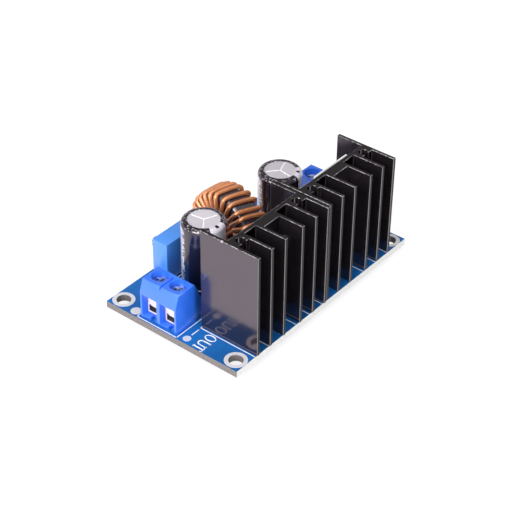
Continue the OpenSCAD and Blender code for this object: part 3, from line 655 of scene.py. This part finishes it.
def cut(piece, place, way, **cleared):
    """Cuts a piece along a plane and clears the side of it that is named."""
    edit(piece)
    bpy.ops.mesh.bisect(plane_co=place, plane_no=way, **cleared)
    leave_edit()


def coat(piece, *materials):
    """Puts materials in a piece's slots, in order."""
    piece.data.materials.clear()
    for material in materials:
        piece.data.materials.append(material)
    return piece


def coat_node(node, material):
    """Gives a CAD node that stays a better material."""
    piece = frame["nodes"][node]
    if not piece.material_slots:
        piece.data.materials.append(material)
    for slot in piece.material_slots:
        slot.material = material


def join(pieces, name):
    """Makes one piece of several, with its place in its mesh."""
    settle()
    for piece in pieces:
        piece.select_set(True)
    bpy.context.view_layer.objects.active = pieces[0]
    if len(pieces) > 1:
        bpy.ops.object.join()
    made = bpy.context.object
    made.name = name
    made.data.name = name
    bpy.ops.object.transform_apply()
    return made


def merged_copy(node, name):
    """A copy of a CAD node with its facets joined, left in edit mode with all of it selected."""
    made = bpy.data.objects.new(name, frame["nodes"][node].data.copy())
    made.data.name = name
    bpy.context.scene.collection.objects.link(made)
    only(made)
    bpy.ops.mesh.customdata_custom_splitnormals_clear()
    edit(made)
    bpy.ops.mesh.remove_doubles(threshold=1e-6)
    return made


def stand_for(node, made):
    """Puts a piece in a CAD node's place and on its body, and hides the node."""
    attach(made, BODY_OF[node])
    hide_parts(node)
    return made


# Widths of rounded corners, in metres
MOULDED_CORNER = 0.1 * MM
TAB_CORNER = 0.05 * MM
CLAMP_CORNER = 0.07 * MM
BRASS_CORNER = 0.08 * MM


def refined(node, name, corner=0.0, segments=2, smooth=40.0, reshape=None):
    """A merged copy of a CAD node with its corners rounded, which stands for that node."""
    made = merged_copy(node, name)
    bpy.ops.mesh.dissolve_limited(angle_limit=math.radians(0.5))
    leave_edit()
    if reshape:
        reshape(made)
    if corner:
        apply_modifier(
            made, "BEVEL", width=corner, segments=segments, limit_method="ANGLE",
            angle_limit=math.radians(35), use_clamp_overlap=True,
        )
    only(made)
    bpy.ops.object.shade_smooth_by_angle(angle=math.radians(smooth))
    return stand_for(node, made)


def flat_bar(start, end, width):
    """A flat strip between two places on the board's top, with its width in metres."""
    run = Vector(end) - Vector(start)
    centre = (Vector(start) + Vector(end)) / 2
    settle()
    bpy.ops.mesh.primitive_plane_add(
        size=1, location=(centre.x * MM, centre.y * MM, BOARD_TOP_MM * MM),
        rotation=(0, 0, math.atan2(run.y, run.x)),
    )
    strip = bpy.context.object
    strip.scale = (run.length * MM + width, width, 1)
    bpy.ops.object.transform_apply()
    return strip


def flat_ring(centre, outer, inner, steps=40, height_mm=BOARD_TOP_MM, squeeze=1.0):
    """A flat ring on the board, with its radii in millimetres along x."""
    settle()
    bpy.ops.mesh.primitive_circle_add(
        vertices=steps, radius=outer * MM, fill_type="NGON",
        location=(centre[0] * MM, centre[1] * MM, height_mm * MM),
    )
    ring = bpy.context.object
    edit(ring)
    bpy.ops.mesh.inset(thickness=(outer - inner) * MM, use_even_offset=True)
    bpy.ops.mesh.delete(type="FACE")
    leave_edit()
    ring.scale = (1, squeeze, 1)
    bpy.ops.object.transform_apply()
    return ring


def half_ring(centre, outer, inner, keep):
    """The part of a flat ring on one side of its centre, in the direction keep."""
    ring = flat_ring(centre, outer, inner)
    cut(ring, (centre[0] * MM, centre[1] * MM, BOARD_TOP_MM * MM), keep, clear_inner=True)
    return ring


def keep_on_board(piece):
    """Cuts a flat piece off where it reaches past the board's edges."""
    for way in ((1, 0, 0), (-1, 0, 0), (0, 1, 0), (0, -1, 0)):
        reach = (BOARD_END_MM if way[0] else BOARD_SIDE_MM) - RING_MARGIN_MM
        cut(piece, Vector(way) * reach * MM, way, clear_outer=True)


def flat_piece(shapes, name, thickness, material, trim=False):
    """Joins flat shapes on the board into one piece of print or plating, thickened up or down."""
    piece = join(shapes, name)
    if trim:
        keep_on_board(piece)
    apply_modifier(piece, "SOLIDIFY", thickness=thickness, offset=1)
    coat(piece, material)
    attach(piece, "module")


# Print and plating on the board


TERMINAL_MARGIN_MM = 0.45
TRIMMER_MARGIN_MM = 0.3
EDGE_MARGIN_MM = 0.2
RING_MARGIN_MM = 0.03
RING_PLAY_MM = 0.02
RING_STEPS = 48
CAN_RING_MM = (5.35, 5.1)
SINK_LINES = 6
SINK_LINE_STEP_MM = 4.58
SINK_LINE_STARTS_MM = {"output_heatsink": -24.0, "input_heatsink": 0.16}
SINK_LINE_REAR_MM = 0.15
SINK_TICK_MM = 0.7
MINUS_ENDS_MM = (26.9, 24.8)
MINUS_Y_MM = -3.45
TEST_DOT_X_MM = 28.48
TEST_DOTS_MM = ((-3.43, 0.92), (11.0, 1.2))
TEST_DOT_HOLE_MM = 0.04
PAD_OUT_MM = 0.3
PAD_IN_MM = 0.12
OUT_PRINT_Y_MM = -5.77
IN_PRINT_Y_MM = -8.57
LETTER_H_MM = 2.8
LETTER_STROKE_MM = 0.32
LETTER_SERIF_MM = 0.2
LETTER_FOOT_MM = 0.1
SERIF_HALF_MM = 0.15
SERIF_LEVEL_MM = 0.12
WIDE_SERIF_MM = 0.25
ARM_DROP_MM = 0.3


def stem(x, low, high, width=LETTER_STROKE_MM):
    """An upright stroke, as its two ends and its width."""
    return ((x, low), (x, high), width)


def serif(x, y, half=SERIF_HALF_MM):
    """A thin level stroke across the end of a stem."""
    return ((x - half, y), (x + half, y), LETTER_SERIF_MM)


def letter_bars(corner, turn, strokes):
    """Straight strokes of a letter, drawn from the corner of its line of print."""
    x, y = corner
    return [
        flat_bar((x + turn * a[0], y + turn * a[1]), (x + turn * b[0], y + turn * b[1]), w * MM)
        for a, b, w in strokes
    ]


def letter_o(corner, turn, width):
    """An upright oval, thinner at its top and bottom."""
    x, y = corner
    tall = LETTER_H_MM / width
    inner = width / 2 - LETTER_STROKE_MM
    ring = flat_ring((0, 0), width / 2, inner, 32, squeeze=tall)
    select_vertices(ring, [
        vertex.index for vertex in ring.data.vertices
        if math.hypot(vertex.co.x, vertex.co.y / tall) < (width / 2 - 0.05) * MM
    ])
    bpy.ops.transform.resize(
        value=(1, (LETTER_H_MM / 2 - LETTER_SERIF_MM) / (inner * tall), 1),
        center_override=(0, 0, BOARD_TOP_MM * MM),
    )
    leave_edit()
    ring.location = ((x + turn * width / 2) * MM, (y + turn * LETTER_H_MM / 2) * MM, 0)
    return [ring]


def letter_u(corner, turn, width):
    x, y = corner
    radius = width / 2 - LETTER_FOOT_MM
    top = LETTER_H_MM - LETTER_SERIF_MM / 2
    left = LETTER_FOOT_MM + LETTER_STROKE_MM / 2
    right = width - left
    strokes = [
        stem(left, radius, top),
        stem(right, radius, top, LETTER_SERIF_MM),
        serif(left, top),
        serif(right, top),
    ]
    centre = (x + turn * width / 2, y + turn * radius)
    bowl = half_ring(centre, radius, radius - LETTER_STROKE_MM, (0, -turn, 0))
    return letter_bars(corner, turn, strokes) + [bowl]


def letter_t(corner, turn, width):
    top = LETTER_H_MM - LETTER_SERIF_MM / 2
    left = SERIF_LEVEL_MM
    right = width - SERIF_LEVEL_MM
    return letter_bars(corner, turn, [
        stem(width / 2, LETTER_FOOT_MM, top),
        ((left, top), (right, top), LETTER_SERIF_MM),
        stem(left, top - ARM_DROP_MM, top, LETTER_SERIF_MM),
        stem(right, top - ARM_DROP_MM, top, LETTER_SERIF_MM),
        serif(width / 2, SERIF_LEVEL_MM, WIDE_SERIF_MM),
    ])


def letter_i(corner, turn, width):
    return letter_bars(corner, turn, [
        stem(width / 2, LETTER_FOOT_MM, LETTER_H_MM - LETTER_FOOT_MM),
        serif(width / 2, SERIF_LEVEL_MM, WIDE_SERIF_MM),
        serif(width / 2, LETTER_H_MM - SERIF_LEVEL_MM, WIDE_SERIF_MM),
    ])


def letter_n(corner, turn, width):
    inset = 0.2
    left = inset
    right = width - inset
    top = LETTER_H_MM - LETTER_FOOT_MM
    return letter_bars(corner, turn, [
        stem(left, LETTER_FOOT_MM, top, LETTER_SERIF_MM),
        ((left, LETTER_H_MM - inset), (right, WIDE_SERIF_MM), LETTER_STROKE_MM),
        stem(right, LETTER_FOOT_MM, top, LETTER_SERIF_MM),
        serif(left, SERIF_LEVEL_MM),
        serif(right, LETTER_H_MM - SERIF_LEVEL_MM),
    ])


LETTERS_MM = (
    (letter_o, (-24.35, OUT_PRINT_Y_MM), -1, 1.9),
    (letter_u, (-26.6, OUT_PRINT_Y_MM), -1, 1.9),
    (letter_t, (-28.4, OUT_PRINT_Y_MM), -1, 1.55),
    (letter_i, (25.1, IN_PRINT_Y_MM), 1, 0.9),
    (letter_n, (26.3, IN_PRINT_Y_MM), 1, 1.9),
)


def outline_bars(node, width, margin):
    """Four printed lines round a node's foot, kept on the board."""
    low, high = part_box(node)
    x0 = max(low.x / MM - margin, -BOARD_END_MM + EDGE_MARGIN_MM)
    x1 = min(high.x / MM + margin, BOARD_END_MM - EDGE_MARGIN_MM)
    y0 = low.y / MM - margin
    y1 = high.y / MM + margin
    corners = [(x0, y0), (x1, y0), (x1, y1), (x0, y1)]
    return [flat_bar(corners[i], corners[(i + 1) % 4], width) for i in range(4)]


def sink_lines(node, width):
    """The heatsink's printed outline: a line at each fin and a tick along its rear edge."""
    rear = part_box(node)[1].y / MM - SINK_LINE_REAR_MM
    front = -BOARD_SIDE_MM + EDGE_MARGIN_MM
    first = SINK_LINE_STARTS_MM[node]
    places = [first + i * SINK_LINE_STEP_MM for i in range(SINK_LINES)]
    bars = [flat_bar((x, front), (x, rear), width) for x in places]
    return bars + [flat_bar((first, rear), (first + SINK_TICK_MM, rear), width)]


def mounting_holes():
    """Centres and radius of the mounting holes, from the record's bolt pattern."""
    mounts = frame["record"]["mounts"]
    dims = next(mount["dims"] for mount in mounts if mount["name"] == "corner_holes")
    half_x = dims["spacing_x_mm"] / 2
    half_y = dims["spacing_y_mm"] / 2
    return [(sx * half_x, sy * half_y) for sx in (-1, 1) for sy in (-1, 1)], dims["hole_r_mm"]


LEAD_CELL_MM = 1.2
LEAD_REACH_MM = 1.5


def lead_places():
    """Centre and radius of every solder joint, read from its cone under the board."""
    mesh = frame["nodes"]["solder_joints"].data
    cells = {}
    for vertex in mesh.vertices:
        if vertex.co.z > BOARD_LOW.z - 1e-5:
            key = tuple(round(value / MM / LEAD_CELL_MM) for value in vertex.co.xy)
            cells.setdefault(key, []).append(vertex.co.copy())
    groups = []
    reach = LEAD_REACH_MM * MM
    for points in cells.values():
        home = next((g for g in groups if any((p - points[0]).length < reach for p in g)), None)
        if home is None:
            groups.append(list(points))
        else:
            home.extend(points)
    places = []
    for points in groups:
        xs = [p.x for p in points]
        ys = [p.y for p in points]
        places.append((
            (min(xs) + max(xs)) / 2 / MM, (min(ys) + max(ys)) / 2 / MM, (max(xs) - min(xs)) / 2 / MM
        ))
    return places


class MODULE_OT_board(bpy.types.Operator):
    """Finishes the board and adds its print, rings and pads"""
    bl_idname = "module.board"
    bl_label = "Board"

    def execute(self, context):
        looks = context.scene.module_looks.board
        coat_node("circuit_board", board_finish(looks))
        ink = ink_finish()
        tin = tinning_finish()
        width = looks.line_width
        bars = []
        for side in SIDES:
            bars += outline_bars(side + "_terminal_housing", width, TERMINAL_MARGIN_MM)
        for node in SINK_LINE_STARTS_MM:
            bars += sink_lines(node, width)
        bars += outline_bars("trimmer_housing", width, TRIMMER_MARGIN_MM)
        for side in SIDES:
            centre = middle_mm(side + "_capacitor_can")
            bars.append(flat_ring(centre[:2], *CAN_RING_MM))
        for end in ENDS:
            first, last = [(end * x, MINUS_Y_MM) for x in MINUS_ENDS_MM]
            bars.append(flat_bar(first, last, width))
        for letter, corner, turn, wide in LETTERS_MM:
            bars += letter(corner, turn, wide)
        thickness = looks.ink_thickness
        flat_piece(bars, "board_print", thickness, ink)

        centres, hole = mounting_holes()
        hole += RING_PLAY_MM
        outer = looks.ring_diameter / (2 * MM)
        rings = [flat_ring(c, outer, hole, RING_STEPS) for c in centres]
        flat_piece(rings, "hole_rings_top", thickness, tin, trim=True)
        rings = [flat_ring(c, outer, hole, RING_STEPS, BOARD_BOTTOM_MM) for c in centres]
        flat_piece(rings, "hole_rings_bottom", -thickness, tin, trim=True)
        dots = [
            flat_ring((end * TEST_DOT_X_MM, y), radius, TEST_DOT_HOLE_MM, 24)
            for end in ENDS for y, radius in TEST_DOTS_MM
        ]
        flat_piece(dots, "test_dots", thickness, tin)
        pads = [
            flat_ring((x, y), radius + PAD_OUT_MM, radius - PAD_IN_MM, 20, BOARD_BOTTOM_MM)
            for x, y, radius in lead_places()
        ]
        flat_piece(pads, "lead_pads", -thickness, tin)

        joints = refined("solder_joints", "solder_cones", smooth=50)
        coat(joints, solder_finish())
        return {"FINISHED"}


FIN_END_MM = 0.3
FIN_FOOT_MM = 0.2


def mark_edges(piece):
    """Gives the rounded fin ends and the straight rims of the sawn top the second material, bared
    aluminium with painted highlight.
    """
    front = min(corner[1] for corner in piece.bound_box)
    rear = max(corner[1] for corner in piece.bound_box)
    for face in piece.data.polygons:
        low, middle, _ = sorted(abs(value) for value in face.normal)
        at_end = min(face.center.y - front, rear - face.center.y) < FIN_END_MM * MM
        straight_rim = low < 0.15 and face.normal.z > 0.3
        rounded = middle > 0.2 and (straight_rim or at_end)
        if rounded and face.center.z > BOARD_HIGH.z + FIN_FOOT_MM * MM:
            face.material_index = 1


class MODULE_OT_heatsinks(bpy.types.Operator):
    """Rounds the heatsinks' edges, gives them bared aluminium and painted highlight, and finishes them
    in black
    """
    bl_idname = "module.heatsinks"
    bl_label = "Heatsinks"

    def execute(self, context):
        looks = context.scene.module_looks.heatsink
        black = anodised_finish(looks)
        bared_and_highlight = bared_and_highlight_finish(looks)
        for side in SIDES:
            node = side + "_heatsink"
            sink = refined(node, node + "_edged", looks.edge_width, segments=1, smooth=30)
            coat(sink, black, bared_and_highlight)
            mark_edges(sink)
        coat_node("heatsink_pins", tinned())
        return {"FINISHED"}


class MODULE_OT_devices(bpy.types.Operator):
    """Finishes the diode and the regulator, their pads and their screws"""
    bl_idname = "module.devices"
    bl_label = "Power devices"

    def execute(self, context):
        compound = moulding_finish()
        plate = plated_finish("tab_plating", srgb(170, 172, 178), srgb(206, 208, 214), (6, 1, 1))
        pad = insulator_finish()
        for device in ("diode", "regulator"):
            coat(refined(device + "_body", device + "_moulding", MOULDED_CORNER), compound)
            coat(refined(device + "_tab", device + "_plate", TAB_CORNER), plate)
            coat_node(device + "_leads", tinned())
            coat_node(device + "_pad", pad)
        coat(refined("tab_screws", "tab_screws_turned", MOULDED_CORNER), plate)
        return {"FINISHED"}


class MODULE_OT_choke(bpy.types.Operator):
    """Smooths the winding's wire and finishes the core"""
    bl_idname = "module.choke"
    bl_label = "Choke"

    def execute(self, context):
        looks = context.scene.module_looks.choke
        coat(refined("choke_core", "core_coated", smooth=60), core_finish(looks))
        wire = merged_copy("choke_winding", "winding_wire")
        bpy.ops.mesh.tris_convert_to_quads(
            face_threshold=math.radians(60), shape_threshold=math.radians(80)
        )
        bpy.ops.transform.shrink_fatten(value=looks.wire_growth)
        leave_edit()
        apply_modifier(wire, "SUBSURF", levels=1, render_levels=1)
        only(wire)
        bpy.ops.object.shade_smooth()
        coat(stand_for("choke_winding", wire), copper_finish(looks))
        return {"FINISHED"}


SCORE_TURNS = {"output": 98.0, "input": 20.0}
STRIPE_TURNS = {"output": -96.0, "input": -62.0}
# The input can's leaves are made darker than the output's: painted shade, as less light falls on that
# can.
CAN_PAINTED_SHADE = {"output": 1.0, "input": 0.86}


class MODULE_OT_capacitors(bpy.types.Operator):
    """Finishes the cans, the sleeves with their stripes, the bungs and the leads"""
    bl_idname = "module.capacitors"
    bl_label = "Capacitors"

    def execute(self, context):
        looks = context.scene.module_looks.capacitor
        rubber = rubber_finish()
        for side in SIDES:
            name = side + "_capacitor"
            centre = (*middle_mm(name + "_can")[:2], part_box(name + "_can")[1].z / MM)
            can = refined(name + "_can", name + "_metal", smooth=45)
            turn = math.radians(SCORE_TURNS[side])
            coat(can, can_finish(name + "_aluminium", centre, turn, CAN_PAINTED_SHADE[side]))
            sleeve = refined(name + "_sleeve", name + "_wrap", smooth=60)
            stripe = math.radians(STRIPE_TURNS[side])
            coat(sleeve, sleeve_finish(name + "_print", looks, centre, stripe))
            coat_node(name + "_bung", rubber)
            coat_node(name + "_leads", tinned())
        return {"FINISHED"}


CLAMP_PLAY_MM = 0.04
NOTCH_WALLS_MM = ((0.1, -0.8), (1.7, 0.1))
NOTCH_TOP_MM = 0.65
NOTCH_BACK_MM = 0.5
NEAR_MM = 0.02


def lower_top(clamp):
    """Lowers a clamp's top a little, so that it stops just short of the housing at its highest."""
    edge = max(corner[2] for corner in clamp.bound_box) - NEAR_MM * MM / 2
    top = [vertex.index for vertex in clamp.data.vertices if vertex.co.z > edge]
    move_vertices(clamp, top, (0, 0, -CLAMP_PLAY_MM))


def paint_hole_shade(clamp):
    """Gives the inside of a clamp's wire hole the second material, a darker tone that is painted shade.
    """
    low = Vector(clamp.bound_box[0])
    high = Vector(clamp.bound_box[6])
    for face in clamp.data.polygons:
        across = (face.center - (low + high) / 2) * face.normal
        if min(across.y, across.z) < 0 and abs(face.normal.x) < 0.1:
            face.material_index = 1


def move_notches(housing):
    """Moves the walls of the notches under the mouths, given from the pole, and sets them back."""
    side = housing.name.split("_")[0]
    turn = 1 if side == "output" else -1
    top = (BOARD_TOP_MM + NOTCH_TOP_MM) * MM
    for row in ROWS:
        pole = middle_mm(f"{side}_clamp_{row}").y
        for old, new in NOTCH_WALLS_MM:
            wall = (pole + turn * old) * MM
            chosen = [
                vertex.index for vertex in housing.data.vertices
                if vertex.co.z < top and abs(vertex.co.y - wall) < NEAR_MM * MM
            ]
            move_vertices(housing, chosen, (turn * NOTCH_BACK_MM, turn * (new - old), 0))


class MODULE_OT_terminals(bpy.types.Operator):
    """Rounds and finishes the terminal housings, clamps and screws"""
    bl_idname = "module.terminals"
    bl_label = "Terminals"

    def execute(self, context):
        looks = context.scene.module_looks.plastic
        plastic = plastic_finish("terminal_plastic", looks.terminal_colour)
        clamp_metal = plated_finish(
            "clamp_plating", srgb(238, 222, 220), srgb(252, 240, 238),
            drawn_along=(1, 1, 4), roughness=(0.4, 0.6), metallic=0.25,
        )
        # The second clamp material is painted shade for the insides of the wire holes.
        hole_painted_shade = plated_finish(
            "clamp_hole", srgb(62, 56, 58), srgb(96, 88, 90),
            drawn_along=(1, 1, 4), roughness=(0.5, 0.7), metallic=0.6,
        )
        # The screws' blue tint is painted reflection of the blue housing round them.
        screw_painted_reflection = plated_finish(
            "screw_plating", srgb(150, 166, 200), srgb(206, 218, 240), drawn_along=(1, 1, 1)
        )
        for side in SIDES:
            housing = refined(
                side + "_terminal_housing", side + "_terminal_moulding", looks.corner_width,
                reshape=move_notches,
            )
            coat(housing, plastic)
            coat_node(side + "_terminal_pins", clamp_metal)
            for row in ROWS:
                node = f"{side}_clamp_{row}"
                clamp = refined(node, node + "_plated", CLAMP_CORNER, reshape=lower_top)
                coat(clamp, clamp_metal, hole_painted_shade)
                paint_hole_shade(clamp)
                node = f"{side}_screw_{row}"
                coat(refined(node, node + "_turned", CLAMP_CORNER), screw_painted_reflection)
        return {"FINISHED"}


class MODULE_OT_trimmer(bpy.types.Operator):
    """Rounds and finishes the trimmer's housing, its adjusting screw and its pins"""
    bl_idname = "module.trimmer"
    bl_label = "Trimmer"

    def execute(self, context):
        looks = context.scene.module_looks.plastic
        housing = refined("trimmer_housing", "trimmer_moulding", looks.corner_width)
        coat(housing, plastic_finish("trimmer_plastic", looks.trimmer_colour, (0.3, 0.42)))
        screw = refined("trimmer_screw", "trimmer_brass_screw", BRASS_CORNER)
        coat(screw, plated_finish("brass", srgb(168, 124, 58), srgb(212, 170, 92), (1, 1, 1)))
        coat_node("trimmer_pins", tinned())
        return {"FINISHED"}


CHIPS = (
    ("chip_capacitors", "chip_ceramic", srgb(182, 152, 112), 3.2),
    ("chip_resistors", "chip_black", srgb(30, 30, 33), 2.0),
)


class MODULE_OT_chips(bpy.types.Operator):
    """Finishes the chip capacitors and resistors"""
    bl_idname = "module.chips"
    bl_label = "Chips"

    def execute(self, context):
        for node, name, tone, chip_mm in CHIPS:
            coat_node(node, chip_finish(name, tone, node, chip_mm))
        return {"FINISHED"}


# Stage


VIEW_AZIMUTH = -0.895095
VIEW_ELEVATION = 0.639624
VIEW_ROLL = 0.0114053
VIEW_DISTANCE_MM = 339.43
VIEW_RIGHT_MM = -0.8761
VIEW_UP_MM = 2.8772
LENS_MM = 107.66
SENSOR_MM = 36
LAMPS = (
    ("key", (-0.52, 0.0, 0.3), 0.34),
    ("top", (-0.08, -0.02, 0.6), 0.4),
    ("front", (-0.16, -0.6, 0.2), 0.3),
)
LAMP_TARGET = Vector((0, 0, 0.012))
FLOOR_CURVE = ((1.06, 0.02), (1.05, 0.06), (1.03, 0.14), (1.01, 0.5))
FLOOR_GLOW = 0.84


def stage_finish():
    """A pale floor that looks white, seen straight or in a reflection, and keeps the object's shadow."""
    made = Finish("pale_floor")
    tree = made.tree
    tree.nodes.remove(made.surface)
    output = tree.nodes["Material Output"]
    ray = made.node("LightPath").outputs
    seen = made.math("MAXIMUM", ray["Is Camera Ray"], ray["Is Glossy Ray"])
    seen = made.math("MAXIMUM", seen, ray["Is Transmission Ray"])
    tooth = made.noise(0.05, 2)
    paper = made.mix(tooth, (0.8, 0.8, 0.8), (0.82, 0.82, 0.82))
    matt = made.node("BsdfDiffuse", {"Color": paper})
    faint = made.node("BsdfDiffuse", {"Color": (0.22, 0.22, 0.22)})
    glow = made.node("Emission", {"Color": (1, 1, 1), "Strength": FLOOR_GLOW})
    shown = made.node("AddShader", {0: faint.outputs[0], 1: glow.outputs[0]})
    both = made.node("MixShader", {0: seen, 1: matt.outputs[0], 2: shown.outputs[0]})
    tree.links.new(both.outputs[0], output.inputs["Surface"])
    return made.material


def lamp(name, place, size, energy):
    """A soft square lamp turned towards the object."""
    data = bpy.data.lights.new(name, "AREA")
    data.shape = "SQUARE"
    data.size = size
    data.energy = energy
    made = bpy.data.objects.new(name, data)
    bpy.context.scene.collection.objects.link(made)
    made.location = place
    made.rotation_mode = "QUATERNION"
    made.rotation_quaternion = (LAMP_TARGET - Vector(place)).to_track_quat("-Z", "Y")


def camera():
    """The camera, aimed at the board's middle and shifted in its own picture plane."""
    data = bpy.data.cameras.new("camera")
    data.lens = LENS_MM
    data.sensor_width = SENSOR_MM
    data.clip_start = 0.01
    data.clip_end = 20
    made = bpy.data.objects.new("camera", data)
    bpy.context.scene.collection.objects.link(made)
    az, el, roll = VIEW_AZIMUTH, VIEW_ELEVATION, VIEW_ROLL
    back = Vector((math.sin(az) * math.cos(el), -math.cos(az) * math.cos(el), math.sin(el)))
    level_right = Vector((math.cos(az), math.sin(az), 0))
    level_up = back.cross(level_right)
    right = math.cos(roll) * level_right + math.sin(roll) * level_up
    up = back.cross(right)
    place = back * VIEW_DISTANCE_MM + right * VIEW_RIGHT_MM + up * VIEW_UP_MM
    place = (place + Vector((0, 0, BOARD_TOP_MM))) * MM
    pose = made.matrix_world.to_3x3()
    pose.col[0] = right
    pose.col[1] = up
    pose.col[2] = back
    made.matrix_world = pose.to_4x4()
    made.location = place
    return made


class MODULE_OT_stage(bpy.types.Operator):
    """Makes the floor, the lamps, the even light and the camera"""
    bl_idname = "module.stage"
    bl_label = "Stage"

    def execute(self, context):
        looks = context.scene.module_looks.stage
        settle()
        bpy.ops.mesh.primitive_circle_add(vertices=96, radius=looks.floor_radius, fill_type="NGON")
        floor = context.object
        floor.name = "floor"
        edit(floor)
        bpy.ops.mesh.select_mode(type="EDGE")
        bpy.ops.mesh.region_to_loop()
        for grow, rise in FLOOR_CURVE:
            bpy.ops.mesh.extrude_edges_move(TRANSFORM_OT_translate={"value": (0, 0, rise)})
            bpy.ops.transform.resize(value=(grow, grow, 1))
        leave_edit()
        coat(floor, stage_finish())
        bpy.ops.object.shade_smooth()

        for name, place, size in LAMPS:
            lamp(name + "_lamp", place, size, getattr(looks, name + "_power"))
        world = bpy.data.worlds.new("even_light")
        world.use_nodes = True
        backdrop = world.node_tree.nodes["Background"]
        backdrop.inputs["Color"].default_value = (1, 1, 1, 1)
        backdrop.inputs["Strength"].default_value = looks.sky_level
        context.scene.world = world
        context.scene.view_settings.view_transform = "Standard"

        context.scene.camera = camera()
        return {"FINISHED"}


class MODULE_PT_looks(bpy.types.Panel):
    """Lists the module's pieces"""
    bl_idname = "MODULE_PT_looks"
    bl_label = "Converter Module"
    bl_space_type = "VIEW_3D"
    bl_region_type = "UI"
    bl_category = "Converter"

    def draw(self, context):
        looks = context.scene.module_looks
        for group, operator in GROUPS:
            box = self.layout.box()
            box.operator(operator)
            if group:
                part = getattr(looks, group)
                for name in part.bl_rna.properties.keys():
                    if name not in ("rna_type", "name"):
                        box.prop(part, name)


GROUPS = (
    ("board", "module.board"),
    ("heatsink", "module.heatsinks"),
    (None, "module.devices"),
    ("choke", "module.choke"),
    ("capacitor", "module.capacitors"),
    ("plastic", "module.terminals"),
    (None, "module.trimmer"),
    (None, "module.chips"),
    ("stage", "module.stage"),
)

CLASSES = (
    BoardLooks,
    HeatsinkLooks,
    ChokeLooks,
    CapacitorLooks,
    PlasticLooks,
    StageLooks,
    ModuleLooks,
    MODULE_OT_board,
    MODULE_OT_heatsinks,
    MODULE_OT_devices,
    MODULE_OT_choke,
    MODULE_OT_capacitors,
    MODULE_OT_terminals,
    MODULE_OT_trimmer,
    MODULE_OT_chips,
    MODULE_OT_stage,
    MODULE_PT_looks,
)


def register():
    for each in CLASSES:
        bpy.utils.register_class(each)
    bpy.types.Scene.module_looks = bpy.props.PointerProperty(type=ModuleLooks)


def unregister():
    del bpy.types.Scene.module_looks
    for each in reversed(CLASSES):
        bpy.utils.unregister_class(each)


def main():
    register()
    for _, operator in GROUPS:
        group, action = operator.split(".")
        getattr(getattr(bpy.ops, group), action)()


if __name__ == "__main__":
    main()
